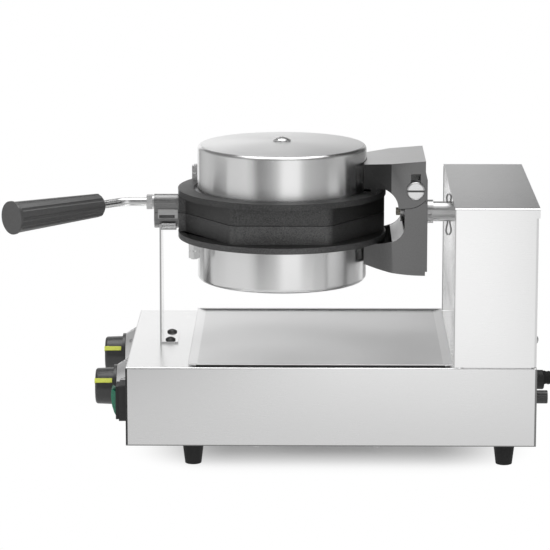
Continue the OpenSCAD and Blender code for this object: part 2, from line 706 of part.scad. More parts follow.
module limit_thermostat() color([0.2, 0.2, 0.22]) at_reset() difference() {
    union() {
        translate([0, 0, -sheet - seat - limit_body_l]) cylinder(d = limit_body_d, h = limit_body_l);
        translate([0, 0, -sheet - over]) cylinder(d = reset_neck_d, h = sheet + over + reset_neck_out);
    }
    translate([0, 0, -sheet - limit_body_l / 2]) cylinder(d = reset_button_d + 2 * run_gap * 2, h = limit_body_l + reset_neck_out);
}
module reset_button() color([0.7, 0.12, 0.1]) at_reset()
    translate([0, 0, -sheet]) cylinder(d = reset_button_d, h = sheet + reset_neck_out + reset_button_out);
module reset_cap() color([0.08, 0.08, 0.08]) at_reset() difference() {
    union() {
        translate([0, 0, clear]) cylinder(d = reset_d - reset_wall / 2, h = reset_out - clear);
        for (i = [0:reset_ribs - 1]) rotate(360 * i / reset_ribs) translate([reset_d / 2 - reset_wall / 2, 0, clear])
            cylinder(d = reset_wall, h = reset_out - 2 * clear, $fn = 16);
    }
    cylinder(d = reset_neck_d + 2 * clear, h = reset_out - reset_wall);
}

// The mains lead: a gland, a free stretch, a coil on the table, a short tail and a plug

cord_rise = 2;
gland_hex_l = 6;
gland_end = [back_x + gland_out, -gland_y, gland_z + cord_rise];
coil_x = 332;
coil_y = -10;
coil_r0 = coil_mid_r + coil_turns * coil_pitch / 4;
coil_low = cord_d / 2;
coil_high = coil_low + coil_pitch;
coil_start = [coil_x - cord_d, coil_y - coil_r0, coil_high];
coil_end = [coil_x + coil_r0, coil_y + cord_d, coil_low];
plug_z = 13;
plug_y = 40;
plug_start = [coil_x + coil_r0, plug_y, plug_z];
// The stretch in the air, then the tail at the plug
cord_route = concat([gland_end], [
    [259.7, -14, 59.2], [265.7, -14.4, 58.8], [271.5, -15.7, 57.5], [276.8, -17.8, 55.5], [281.4, -20.6, 52.7],
    [285.1, -24, 49.3], [287.8, -27.9, 45.5], [289.6, -32, 41.5], [291.4, -36.1, 37.4], [293.1, -40.3, 33.3],
    [294.9, -44.4, 29.2], [296.7, -48.5, 25.2], [299.4, -52.3, 21.4], [303.1, -55.7, 18], [307.7, -58.5, 15.3],
    [313, -60.6, 13.2], [318.8, -61.9, 11.9]],
    [coil_start]);
tail_route = concat([coil_end], [[384.5, 8, 4.5], [384.5, 18, 7], [384.5, 28, 11]], [plug_start]);

module cable_gland() color([0.07, 0.07, 0.07]) translate([back_x, -gland_y, gland_z]) rotate([0, 90, 0]) {
    translate([0, 0, -sheet - gland_hex_l]) cylinder(d = gland_d * 3 / 4 - 2 * seat, h = sheet + gland_hex_l + over);
    linear_extrude(gland_hex_l) rotate(30) hexagon(gland_d * cos(30));
    rotate_extrude() {
        square([gland_d / 2 - seat, gland_out - fold_r]);
        square([gland_d / 2 - fold_r, gland_out]);
        translate([gland_d / 2 - fold_r, gland_out - fold_r]) circle(fold_r);
    }
}

// Frames and rings of a tube along a list of points
function unit(v) = v / norm(v);
function tangent(p, i) = unit(p[min(i + 1, len(p) - 1)] - p[max(i - 1, 0)]);
function tube_ring(c, t, d, sides) =
    let (a = unit(cross([0, 0, 1], t)), b = cross(t, a))
    [for (k = [0:sides - 1]) c + d / 2 * (a * cos(360 * k / sides) + b * sin(360 * k / sides))];

// One closed tube. The end rings stand square to the directions t0 and t1.
module tube(p, d, sides, t0, t1) {
    n = len(p);
    points = [for (i = [0:n - 1]) each tube_ring(p[i], i == 0 ? t0 : i == n - 1 ? t1 : tangent(p, i), d, sides)];
    faces = concat(
        [for (k = [1:sides - 2]) [0, k, k + 1]],
        [for (k = [1:sides - 2]) [(n - 1) * sides, (n - 1) * sides + k + 1, (n - 1) * sides + k]],
        [for (i = [0:n - 2], k = [0:sides - 1]) [i * sides + k, (i + 1) * sides + k, i * sides + (k + 1) % sides]],
        [for (i = [0:n - 2], k = [0:sides - 1])
            [(i + 1) * sides + k, (i + 1) * sides + (k + 1) % sides, i * sides + (k + 1) % sides]]);
    polyhedron(points, faces);
}

module power_cord() color([0.06, 0.06, 0.06]) {
    tube(cord_route, cord_d, 10, [1, 0, 0], [1, 0, 0]);
    tube(tail_route, cord_d, 10, [0, 1, 0], [0, 1, 0]);
}

// The coil winds inwards on top, climbs down in the half turn at its middle and winds out below
coil_steps = 24;
coil_n = floor(coil_turns * coil_steps + 0.5);
function coil_point(i) =
    let (turn = i / coil_steps, back = turn - coil_turns / 2,
         r = coil_r0 - coil_pitch * (coil_turns / 2 - abs(back)),
         share = max(0, min(1, 0.5 + 2 * back)),
         z = coil_high - coil_pitch * (1 - cos(180 * share)) / 2,
         a = 360 * turn - 90)
    [coil_x + r * cos(a), coil_y + r * sin(a), z];
coil_path = concat([coil_start], [for (i = [0:coil_n]) coil_point(i)], [coil_end]);
coil_gap = min([for (i = [0:coil_n - 12], j = [i + 12:coil_n]) norm(coil_point(i) - coil_point(j))]) - cord_d;

module cord_coil() color([0.06, 0.06, 0.06]) tube(coil_path, cord_d, 6, [1, 0, 0], [0, 1, 0]);

plug_relief_l = 18;
plug_relief_d = 14;
plug_l = 30;
plug_w = 32;
plug_face = 26;
blade_gap = 12.7;
blade = [1.5, 6.3, 18];
earth_d = 4.8;
module plug() color([0.06, 0.06, 0.06]) translate(plug_start) rotate([-90, 0, 0]) {
    cylinder(d1 = cord_d + plug_relief_d / 7, d2 = plug_relief_d, h = plug_relief_l);
    translate([0, 0, plug_relief_l]) linear_extrude(plug_l) rounded(plug_w, plug_face, bezel_r);
    for (s = [-1, 1]) translate([s * blade_gap / 2 - blade[0] / 2, -blade[1] / 2, plug_relief_l + plug_l - seat])
        cube([blade[0], blade[1], blade[2] + seat]);
    translate([0, -plug_face / 3, plug_relief_l + plug_l - seat]) cylinder(d = earth_d, h = blade[2] + earth_d / 2);
}

// The drip tray lies on the base and draws out to the cook's right

tray_x1 = tower_x0 - 2 * clear;
tray_x0 = tray_x1 - tray_l;
module drip_tray() color([0.72, 0.73, 0.74]) translate([0, 0, deck_z + clear]) {
    wall_y = tray_w / 2 - tray_rim;
    rise = tray_h - clear;
    difference() {
        along_y(-wall_y, wall_y) polygon([
            [tray_x0 + tray_slope, 0], [tray_x1 - tray_slope, 0], [tray_x1, rise - tray_t], [tray_x1, rise],
            [tray_x0, rise], [tray_x0, rise - tray_t]]);
        along_y(tray_t - wall_y, wall_y - tray_t) polygon([
            [tray_x0 + tray_slope, tray_t], [tray_x1 - tray_slope, tray_t],
            [tray_x1 - tray_t, rise], [tray_x1 - tray_t, rise + over],
            [tray_x0 + tray_t, rise + over], [tray_x0 + tray_t, rise]]);
    }
    both_sides() translate([tray_x0, wall_y - tray_t, rise - tray_t]) cube([tray_l, tray_rim + tray_t, tray_t]);
}

// One half of the pan, above the split. The lower half is its mirror image.

module upper_half() translate([pan_x, 0, axis_z]) children();
module lower_half() translate([pan_x, 0, axis_z]) rotate([180, 0, 0]) children();

bubble_rows = bubbles_side - 1;
row_step = bubble_pitch * sin(60);
bubble_z = seam_gap / 2 + web_depth;
lug_root = mould_w / 2;
lug_block_w = 24;
bolt_deep = 4;
bracket_bolt_y = 22;
bracket_bolt_r = (cover_r + cover_foot_w + flange_d / 2) / 2;
bracket_bolt_x = sqrt(bracket_bolt_r * bracket_bolt_r - bracket_bolt_y * bracket_bolt_y);
stud_deep = flange_t - 2;

module mould_plate() difference() {
    union() {
        translate([0, 0, seam_gap / 2]) linear_extrude(mould_t - seam_gap / 2) mould_outline(0);
        translate([0, 0, mould_t]) cylinder(d = flange_d, h = flange_t, $fn = 128);
        // The front lug: a boss with a web down to the split, and a block at its root
        translate([-lug_reach, 0, lug_rise]) rotate([0, 90, 0]) cylinder(d = lug_d, h = lug_reach - lug_root);
        translate([-lug_reach, -lug_web / 2, seam_gap / 2]) cube([lug_reach - lug_root, lug_web, lug_rise - seam_gap / 2]);
        translate([over - flange_d / 2, -lug_block_w / 2, seam_gap / 2])
            cube([flange_d / 2 - lug_root, lug_block_w, mould_t + over - seam_gap / 2]);
    }
    // The batter space: a flat web and the bubbles
    translate([0, 0, seam_gap / 2 - over]) linear_extrude(web_depth + over)
        mould_outline(rim_w);
    for (row = [-bubble_rows:bubble_rows], i = [0:2 * bubble_rows - abs(row)])
        translate([(i - bubble_rows + abs(row) / 2) * bubble_pitch, row * row_step, bubble_z]) sphere(d = bubble_d, $fn = 32);
    // The recess for the chamber cover, and the fasteners' holes
    translate([0, 0, recess_z]) cylinder(r = cover_r + cover_foot_w + 2 * seat, h = recess_d + over, $fn = 128);
    translate([0, 0, recess_z - bolt_deep]) cylinder(d = m6_d + 2 * seat, h = bolt_deep + over);
    rotate(stud_angle) translate([bracket_bolt_r, 0, flange_z - stud_deep]) cylinder(d = stud_d + 2 * seat, h = stud_deep + over);
    for (s = [-1, 1]) translate([bracket_bolt_x, s * bracket_bolt_y, flange_z - stud_deep])
        cylinder(d = m6_d + 2 * seat, h = stud_deep + over);
}

rod_z = lug_rise;
rod_deep = 18;
module upper_plate() color([0.2, 0.2, 0.21]) upper_half() difference() {
    mould_plate();
    translate([-lug_reach - over, 0, rod_z]) rotate([0, 90, 0]) cylinder(d = rod_d + 2 * seat, h = rod_deep + over);
}
module lower_plate() color([0.2, 0.2, 0.21]) lower_half() mould_plate();

// Outline of a pot of radius r and height h with a round top edge and a low crown, which is
// drawn with a few points
crown_steps = 8;
module pot_outline(r, h, e, crown = 0) {
    square([r, h - e]);
    square([r - e, h]);
    translate([r - e, h - e]) circle(e);
    ball = ((r - e) * (r - e) + crown * crown) / (2 * crown);
    if (crown > 0) polygon([[0, h - e], [r - e, h - e], each arc([0, h + crown - ball], ball, acos((r - e) / ball), 90, crown_steps)]);
}

lead_hole_d = 12;
module chamber_cover() translate([0, 0, recess_z + seat]) difference() {
    union() {
        rotate_extrude($fn = 128) pot_outline(cover_r, cover_z - recess_z - seat, cover_edge_r, cover_crown);
        cylinder(r = cover_r + cover_foot_w, h = cover_t, $fn = 128);
    }
    translate([0, 0, -over])
        rotate_extrude($fn = 128)
            pot_outline(cover_r - cover_t, cover_z - recess_z - cover_t - seat + over, cover_edge_r - cover_t, cover_crown);
    cylinder(d = m6_d + 4 * seat, h = cover_top);
    translate([0, 0, cover_rise / 2]) rotate([0, 90, 0]) cylinder(d = lead_hole_d, h = cover_d);
}
module upper_cover() color([0.8, 0.8, 0.8]) upper_half() chamber_cover();
module lower_cover() color([0.8, 0.8, 0.8]) lower_half() chamber_cover();

element_gap = 40;
terminal_d = 4;
terminal_l = 14;
module heating_element() translate([0, 0, recess_z + element_d / 2 + seat]) {
    rotate(element_gap / 2) rotate_extrude(angle = 360 - element_gap)
        translate([element_ring_d / 2, 0]) circle(d = element_d);
    for (s = [-1, 1]) rotate(s * element_gap / 2) translate([element_ring_d / 2, 0, 0]) {
        sphere(d = element_d);
        cylinder(d = terminal_d, h = terminal_l);
    }
}
module upper_element() color([0.35, 0.33, 0.32]) upper_half() heating_element();
module lower_element() color([0.35, 0.33, 0.32]) lower_half() heating_element();

module fibre_mat() translate([0, 0, recess_z + element_d + 2 * seat]) difference() {
    cylinder(r = cover_r - cover_t - clear, h = mat_t);
    translate([0, 0, -over]) cylinder(d = m6_d + 2 * clear, h = mat_t + 2 * over);
    for (s = [-1, 1]) rotate(s * element_gap / 2) translate([element_ring_d / 2, 0, -over])
        cylinder(d = terminal_d + 2 * clear, h = mat_t + 2 * over);
}
module upper_mat() color([0.93, 0.92, 0.88]) upper_half() fibre_mat();
module lower_mat() color([0.93, 0.92, 0.88]) lower_half() fibre_mat();

washer_h = 1.2;
socket_deep = 1.8;
socket_flats = 4;
// A round head on a washer, with a hexagon socket
module cover_bolt() translate([0, 0, cover_top + seat]) difference() {
    union() {
        rotate_extrude() {
            square([(cover_bolt_d + washer_h) / 2, washer_h]);
            translate([0, washer_h]) intersection() {
                dome(cover_bolt_d / 2, cover_bolt_h);
                square([cover_bolt_d / 2, cover_bolt_h]);
            }
        }
        translate([0, 0, recess_z - bolt_deep - cover_top]) cylinder(d = m6_d, h = cover_top - recess_z + bolt_deep + washer_h);
    }
    translate([0, 0, washer_h + cover_bolt_h - socket_deep]) linear_extrude(socket_deep + over) hexagon(socket_flats);
}
module upper_cover_bolt() color([0.78, 0.78, 0.8]) upper_half() cover_bolt();
module lower_cover_bolt() color([0.78, 0.78, 0.8]) lower_half() cover_bolt();

// A stud with two nuts, one locked on the other by a washer
module earth_stud() rotate(stud_angle) translate([bracket_bolt_r, 0, flange_z + seat]) {
    for (z = [0, nut_h + washer_h]) translate([0, 0, z]) linear_extrude(nut_h) hexagon(nut_flats);
    translate([0, 0, nut_h - seat]) cylinder(d = nut_flats, h = washer_h + 2 * seat);
    translate([0, 0, -stud_deep]) cylinder(d = stud_d, h = stud_deep + 2 * (nut_h + washer_h));
}
module upper_earth_stud() color([0.5, 0.5, 0.52]) upper_half() earth_stud();
module lower_earth_stud() color([0.5, 0.5, 0.52]) lower_half() earth_stud();

// The hinge brackets. Their side outlines are drawn from the lid's pivot.

module at_pivot() translate([pivot_x, 0, pivot_z]) children();

bracket_kink = 22.5;
bracket_fall = 5;
bracket_top_front = bracket_top - bracket_fall;
bracket_sill = 2.6;
bracket_chin = 0.8;
nose_r = 19;
nose_turn = 70;
toe = 15.8;
toe_z = 17.4;
heel_c = [-8, 6];
heel_end = acos((bracket_back - heel_c[0]) / heel_r);
seat_r = heel_r + heel_gap;
seat_end = acos((bracket_back - heel_c[0]) / seat_r);
spine = 9.8;
throat_z = 33.6;
throat_r = 16;
throat_turn = 75;
lower_front_top = 54;
lower_front_low = 71.6;
lower_low = 80.5;
pad_t = 6.5;
notch_gap = 0.6;

// The brackets seen from above: wide at the pivot, drawn in towards the pan
module bracket_plan(inset, ahead, behind) polygon([
    [-bracket_reach - ahead, inset - bracket_front_w / 2], [-bracket_kink, inset - bracket_w / 2],
    [bracket_back + behind, inset - bracket_w / 2], [bracket_back + behind, bracket_w / 2 - inset],
    [-bracket_kink, bracket_w / 2 - inset], [-bracket_reach - ahead, bracket_front_w / 2 - inset]]);

// The upper bracket seen from the side. The nose goes round the back of the pan, and the heel
// is an arc that the lower bracket's top edge follows.
module upper_outline() {
    nose_c = [-toe - nose_r, -toe_z];
    sill_x = nose_c[0] + nose_r * cos(nose_turn);
    polygon(concat(
        [[bracket_back, bracket_top], [-bracket_kink, bracket_top - bracket_sill], [-bracket_reach, bracket_top_front],
         [-bracket_reach, -bracket_chin], [sill_x, nose_c[1] + nose_r * sin(nose_turn)]],
        arc(nose_c, nose_r, nose_turn, 0),
        arc(heel_c, heel_r, -90, -heel_end)));
}

// The lower bracket's side: the seat for the heel, the spine, the throat under the pan, the belly
belly_r = (pow(bracket_back + bracket_reach, 2) + pow(lower_low - lower_front_low, 2)) / (2 * (lower_low - lower_front_low));
belly_turn = asin((bracket_back + bracket_reach) / belly_r);
seat_start = acos((-spine - heel_c[0]) / seat_r);
module lower_outline() polygon(concat(
    arc(heel_c, seat_r, -seat_end, -seat_start),
    arc([-spine - throat_r, -throat_z], throat_r, 0, -throat_turn),
    [[-bracket_reach, -lower_front_top]],
    arc([bracket_back, belly_r - lower_low], belly_r, -90 - belly_turn, -90)));

// Room for the chamber cover in a bracket's front edge
module chamber_notch() translate([-pivot_back, 0, -lower_low - over])
    cylinder(r = cover_r + notch_gap, h = lower_low + bracket_top + 2 * over, $fn = 128);

// The foot pad that bolts a bracket to the round flange
module bracket_pad() intersection() {
    translate([0, 0, flange_z + seat]) difference() {
        cylinder(r = flange_d / 2 - clear, h = pad_t, $fn = 128);
        translate([0, 0, -over]) cylinder(r = cover_r + cover_foot_w + 2 * clear, h = pad_t + 2 * over, $fn = 128);
        for (s = [-1, 1]) translate([bracket_bolt_x, s * bracket_bolt_y, -over]) cylinder(d = m6_d + 2 * seat, h = pad_t + 2 * over);
    }
    translate([pivot_back, 0, 0]) linear_extrude(cover_z) bracket_plan(seat, 0, 0);
}

module upper_bracket() color([0.27, 0.27, 0.28]) {
    at_pivot() difference() {
        intersection() {
            translate([0, 0, -toe_z]) linear_extrude(toe_z + bracket_top) bracket_plan(0, 0, 0);
            along_y(-bracket_w / 2, bracket_w / 2) upper_outline();
        }
        // Hollow below its top, open at the back and towards the pan
        intersection() {
            translate([0, 0, -toe_z - over]) linear_extrude(toe_z + bracket_top + over) bracket_plan(bracket_t, over, over);
            along_y(-bracket_w / 2, bracket_w / 2) polygon([[bracket_back + over, bracket_top - bracket_t],
                [-bracket_kink, bracket_top - bracket_t - bracket_sill], [-bracket_reach - over, bracket_top_front - bracket_t],
                [-bracket_reach - over, -toe_z - over], [bracket_back + over, -toe_z - over]]);
        }
        // The slots for the pivot screws
        along_y(-bracket_w / 2 - over, bracket_w / 2 + over)
            {
                translate([-slot_w / 2, -lid_float]) square([slot_w, slot_top + lid_float]);
                translate([0, -lid_float]) circle(d = slot_w);
            }
        chamber_notch();
    }
    upper_half() bracket_pad();
}

back_plate_t = 1.9;
back_plate_step = 12;
ear_out = bracket_w / 2 - bracket_t - clear;
ear_r = bracket_back;
module lower_bracket() color([0.3, 0.3, 0.31]) {
    at_pivot() difference() {
        union() {
            // Side walls and belly
            difference() {
                intersection() {
                    translate([0, 0, -lower_low]) linear_extrude(lower_low) bracket_plan(0, 0, 0);
                    along_y(-bracket_w / 2, bracket_w / 2) lower_outline();
                }
                intersection() {
                    translate([0, 0, -lower_low - over]) linear_extrude(lower_low + 2 * over) bracket_plan(bracket_t, over, over);
                    along_y(-bracket_w / 2, bracket_w / 2) polygon(concat(
                        arc([bracket_back, belly_r - lower_low], belly_r - bracket_t, -90 - belly_turn - 1, -90),
                        [[bracket_back + over, bracket_t - lower_low], [bracket_back + over, over], [-bracket_reach - over, over]]));
                }
            }
            // Ears, inside the upper bracket's walls, lapped to the side walls below
            both_sides() {
                along_y(ear_out - bracket_t, ear_out) {
                    circle(ear_r);
                    translate([-spine, -lower_low / 2]) square([spine + bracket_back, lower_low / 2]);
                }
                along_y(ear_out - seat, bracket_w / 2 - bracket_t + seat)
                    translate([-spine, -lower_low / 2]) square([spine + bracket_back, lower_low / 2 - heel_r]);
            }
            // The back plate, narrower where the lid's walls pass it
            translate([bracket_back, -bracket_w / 2, back_plate_t * 2 - lower_low])
                cube([back_plate_t, bracket_w, lower_low - back_plate_step - back_plate_t * 2]);
            translate([bracket_back, -ear_out, -back_plate_step - over]) cube([back_plate_t, 2 * ear_out, back_plate_step + over + ear_r]);
            // A strip joins the ears' rear edges to the back plate
            both_sides() translate([bracket_back - seat, ear_out - bracket_t, -back_plate_step]) cube([2 * seat, bracket_t, back_plate_step]);
        }
        chamber_notch();
        // Bores for the pivot screws and for the shaft
        along_y(-bracket_w, bracket_w) circle(d = pivot_shank_d + 2 * run_gap);
        translate([bracket_back - over, 0, -pivot_rise]) rotate([0, 90, 0]) cylinder(d = shaft_d + 2 * seat, h = back_plate_t + 2 * over);
    }
    lower_half() bracket_pad();
}

module pad_bolts() for (s = [-1, 1]) translate([bracket_bolt_x, s * bracket_bolt_y, flange_z + pad_t + 2 * seat]) difference() {
    union() {
        cylinder(d = m6_head_d, h = m6_head_h);
        translate([0, 0, -pad_t - stud_deep]) cylinder(d = m6_d, h = pad_t + stud_deep + over);
    }
    translate([0, 0, m6_head_h / 2]) linear_extrude(m6_head_h) hexagon(m6_head_d / 2);
}
module upper_bracket_bolts() color([0.5, 0.5, 0.52]) upper_half() pad_bolts();
module lower_bracket_bolts() color([0.5, 0.5, 0.52]) lower_half() pad_bolts();

pivot_shank_d = 7.6;
pivot_head_h = 4.2;
pivot_nut_h = 5;
pivot_nut_flats = pivot_shank_d * 5 / 3;
driver_slot = 1.8;
// Shouldered screws: a slotted head outside, a shoulder in the lid's slot, a shank in the ear
module hinge_pins() color([0.8, 0.8, 0.82]) at_pivot() both_sides() rotate([-90, 0, 0]) {
    translate([0, 0, ear_out + seat]) cylinder(d = pivot_d, h = bracket_w / 2 + clear - ear_out);
    translate([0, 0, ear_out - bracket_t - pivot_nut_h]) cylinder(d = pivot_shank_d, h = bracket_t + pivot_nut_h + 2 * seat);
    translate([0, 0, ear_out - bracket_t - pivot_nut_h - seat]) linear_extrude(pivot_nut_h) hexagon(pivot_nut_flats);
    translate([0, 0, bracket_w / 2 + clear]) difference() {
        rotate_extrude() pot_outline(pivot_head_d / 2, pivot_head_h, driver_slot);
        translate([-pivot_head_d, -driver_slot / 2, pivot_head_h - driver_slot]) cube([2 * pivot_head_d, driver_slot, driver_slot + over]);
    }
}

// The shaft and what is on it

shaft_x0 = pivot_x - spine - clear * 10;
shaft_x1 = cheek_x[1] + bush_l;
plate_back_x = pivot_x + bracket_back + back_plate_t;
split_pin_x = plate_back_x + pin_back;
module shaft() color([0.8, 0.8, 0.82]) difference() {
    translate([shaft_x0, 0, axis_z]) rotate([0, 90, 0]) cylinder(d = shaft_d, h = shaft_x1 - shaft_x0);
    translate([shaft_x0 - over, 0, axis_z]) rotate([0, 90, 0]) cylinder(d = shaft_bore, h = shaft_x1 - shaft_x0 + 2 * over);
    translate([split_pin_x, 0, axis_z - shaft_d]) cylinder(d = split_pin_d + 4 * seat, h = 2 * shaft_d);
}

shaft_nut_t = 6;
shaft_nut_flats = 30;
module shaft_nut() color([0.6, 0.6, 0.62]) translate([pivot_x + bracket_back - seat - shaft_nut_t, 0, axis_z]) rotate([0, 90, 0])
    linear_extrude(shaft_nut_t) difference() {
        hexagon(shaft_nut_flats);
        circle(d = shaft_d + 2 * seat);
    }

module shaft_collar() color([0.72, 0.72, 0.74]) translate([plate_back_x + seat, 0, axis_z]) rotate([0, 90, 0]) difference() {
    cylinder(d = collar_d, h = collar_l);
    translate([0, 0, -over]) cylinder(d = shaft_d + 2 * seat, h = collar_l + 2 * over);
    // The set screw's hole, on the cook's right
    translate([0, 0, collar_l / 2]) rotate([90, 0, 0]) cylinder(d = screw_d, h = collar_d);
}

eye_r = 3.2;
wire_d = split_pin_d / 2;
leg_l = 9.7;
leg_splay = 12;
leg_bent = 62;
// A split pin: its eye on top, one leg straight down, the other bent up round the shaft
module split_pin() color([0.35, 0.35, 0.36]) translate([split_pin_x, 0, axis_z]) {
    translate([0, 0, shaft_d / 2 + eye_r + wire_d]) rotate([90, 0, 90]) rotate_extrude() translate([eye_r, 0]) circle(d = wire_d);
    translate([0, 0, -shaft_d / 2 - wire_d]) cylinder(d = split_pin_d, h = shaft_d + 2 * wire_d);
    translate([0, 0, -shaft_d / 2 - wire_d]) rotate([180 - leg_splay, 0, 0]) {
        cylinder(d = wire_d, h = leg_l);
        translate([0, 0, leg_l]) leg_tip(wire_d);
    }
    translate([0, 0, -shaft_d / 2 - wire_d]) rotate([180 - leg_bent, 0, 0]) cylinder(d = wire_d, h = leg_l / 2);
}
// The flat end of the long leg
module leg_tip(d) translate([-d / 2, 0, 0]) rotate([0, 90, 0]) cylinder(r = d * 3 / 2, h = d);

stop_collar_d = 30;
stop_collar_l = 12;
stop_arm_out = 25;
stop_collar_x = cheek_x[1] - bush_l * 3 / 2;
module stop_collar() color([0.55, 0.55, 0.57]) translate([stop_collar_x, 0, axis_z]) difference() {
    union() {
        rotate([0, 90, 0]) cylinder(d = stop_collar_d, h = stop_collar_l);
        translate([0, 0, -stop_arm_t / 2]) cube([stop_collar_l, stop_arm_out, stop_arm_t]);
    }
    translate([-over, 0, 0]) rotate([0, 90, 0]) cylinder(d = shaft_d + 2 * seat, h = stop_collar_l + 2 * over);
}

lead_d = 3;
lead_out = 4;
// Four leads to the elements, two on each side of the split pin
module heater_leads() color([0.88, 0.86, 0.8]) for (i = [-1, 1], j = [-1, 1])
    translate([shaft_x0 - lead_out, i * (lead_d + clear * 2), axis_z + j * (lead_d / 2 + seat)])
        rotate([0, 90, 0]) cylinder(d = lead_d, h = shaft_x1 - shaft_x0 + 2 * lead_out);

// The handle, on the upper lug

clip_x0 = 116.5;
clip_l = 18.8;
clip_low = 5.5;
clip_top = 3.1;
module guide_clip() color([0.75, 0.75, 0.76]) upper_half() {
    translate([-clip_x0, -lug_web / 2 - clear - clip_t, -clip_low]) cube([clip_l, clip_t, clip_low + clip_top]);
    translate([-clip_x0, -lug_web / 2 - clear - seat, clear * 2]) cube([clip_l, clear, clip_top - clear * 2]);
}

bend_set = bend_r * tan(handle_bend / 2);
rod_x0 = pan_x - lug_reach;
rod_corner_x = rod_x0 - rod_run;
grip_root = grip_reach - grip_l;
module at_bend() translate([rod_corner_x, 0, axis_z + rod_z]) rotate(handle_bend) children();
// The straight lengths are a touch thinner than the bend that they run into
module handle_rod() color([0.8, 0.8, 0.82]) {
    translate([rod_corner_x + bend_set - over, 0, axis_z + rod_z]) rotate([0, 90, 0])
        cylinder(d = rod_d - 2 * seat, h = rod_run - bend_set + rod_deep - seat + over);
    translate([rod_corner_x + bend_set, -bend_r, axis_z + rod_z]) rotate(90) rotate_extrude(angle = handle_bend)
        translate([bend_r, 0]) circle(d = rod_d);
    at_bend() rotate([0, -90, 0]) translate([0, 0, bend_set - over])
        cylinder(d = rod_d - 2 * seat, h = grip_reach - bend_set - grip_l / 3 + over);
}

handle_nut_flats = 13;
handle_nut_t = 5.3;
handle_washer_t = 1.8;
module handle_nut() color([0.72, 0.72, 0.74]) translate([rod_x0 - seat, 0, axis_z + rod_z]) rotate([0, -90, 0]) difference() {
    union() {
        cylinder(d = handle_nut_flats, h = handle_washer_t);
        translate([0, 0, handle_washer_t]) linear_extrude(handle_nut_t) rotate(30) hexagon(handle_nut_flats);
    }
    translate([0, 0, -over]) cylinder(d = rod_d + 2 * seat, h = handle_washer_t + handle_nut_t + 2 * over);
}

grip_rim_t = 2;
grip_chamfer = 3;
flute_r = 2.4;
flute_deep = 0.9;
grip_body_l = grip_l - grip_chamfer - grip_rim_t;
grip_slope = atan((grip_wide_d - grip_root_d) / 2 / grip_body_l);
// A cone with round flutes that follow its slope
module handle_grip() color([0.07, 0.07, 0.07]) at_bend() rotate([0, -90, 0]) difference() {
    union() {
        translate([0, 0, grip_root]) cylinder(d1 = grip_root_d - 2 * grip_chamfer, d2 = grip_root_d, h = grip_chamfer);
        translate([0, 0, grip_root + grip_chamfer]) cylinder(d1 = grip_root_d, d2 = grip_wide_d, h = grip_body_l);
        translate([0, 0, grip_reach - grip_rim_t]) cylinder(d = grip_end_d, h = grip_rim_t);
    }
    for (i = [0:grip_ridges - 1]) rotate(360 * (i + 0.5) / grip_ridges)
        translate([grip_root_d / 2 + flute_r - flute_deep, 0, grip_root + grip_chamfer]) rotate([0, grip_slope, 0])
            translate([0, 0, -2 * grip_chamfer]) cylinder(r = flute_r, h = grip_body_l + 2 * grip_chamfer - grip_rim_t, $fn = 24);
    translate([0, 0, grip_root - over]) cylinder(d = rod_d + 2 * seat, h = grip_l * 2 / 3 + over + seat);
}

echo("Least gap between the coil's turns", coil_gap);

base_shell();
bottom_plate();
rubber_feet();
foot_screws();
tower_cover();
tower_front_plate();
tower_rear_cover();
rear_cover_screws();
front_upright();
upright_screws();
bearing_bracket();
shaft_bushes();
thermostat_body();
timer_body();
thermostat_dial();
timer_dial();
switch_housing();
terminal_block();
limit_thermostat();
cable_gland();
power_cord();
cord_coil();
plug();
drip_tray();
lower_plate();
lower_cover();
lower_element();
lower_mat();
lower_cover_bolt();
lower_earth_stud();
lower_bracket();
lower_bracket_bolts();
shaft();
shaft_nut();
shaft_collar();
split_pin();
stop_collar();
heater_leads();
hinge_pins();
upper_plate();
upper_cover();
upper_element();
upper_mat();
upper_cover_bolt();
upper_earth_stud();
upper_bracket();
upper_bracket_bolts();
guide_clip();
handle_rod();
handle_nut();
handle_grip();
thermostat_knob();
thermostat_pointer();
thermostat_spindle();
timer_knob();
timer_pointer();
timer_spindle();
rocker();
reset_button();
reset_cap();
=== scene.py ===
# A countertop bubble waffle maker: two hexagonal moulds under round heater chambers turn half
# a turn on a hollow shaft over a drip tray. The file follows the machine as it is put together:
# the light it stands in, its base, tower and front rest, the controls, the mains lead, the drip
# tray, the pan, the handle.
import json
from math import cos, pi, radians, sin

import bmesh
import bpy
import numpy as np
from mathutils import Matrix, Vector

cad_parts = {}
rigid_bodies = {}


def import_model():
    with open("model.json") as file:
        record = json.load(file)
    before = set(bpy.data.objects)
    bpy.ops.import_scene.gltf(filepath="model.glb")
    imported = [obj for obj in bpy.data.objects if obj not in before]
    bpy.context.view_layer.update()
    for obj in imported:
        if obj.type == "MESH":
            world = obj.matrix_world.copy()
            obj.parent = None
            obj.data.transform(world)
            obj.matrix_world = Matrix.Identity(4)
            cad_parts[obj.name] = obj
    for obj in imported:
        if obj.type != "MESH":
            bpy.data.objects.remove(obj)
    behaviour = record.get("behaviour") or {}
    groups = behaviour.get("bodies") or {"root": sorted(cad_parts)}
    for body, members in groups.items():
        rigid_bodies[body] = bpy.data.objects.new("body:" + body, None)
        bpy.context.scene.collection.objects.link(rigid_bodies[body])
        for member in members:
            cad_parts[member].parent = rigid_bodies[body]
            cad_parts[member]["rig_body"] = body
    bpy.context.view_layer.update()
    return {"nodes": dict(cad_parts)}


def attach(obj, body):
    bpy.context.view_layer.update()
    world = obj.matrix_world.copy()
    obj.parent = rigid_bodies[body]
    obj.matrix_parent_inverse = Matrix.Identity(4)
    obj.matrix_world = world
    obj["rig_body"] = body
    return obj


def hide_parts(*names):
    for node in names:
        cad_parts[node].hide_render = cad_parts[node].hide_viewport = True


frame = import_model()

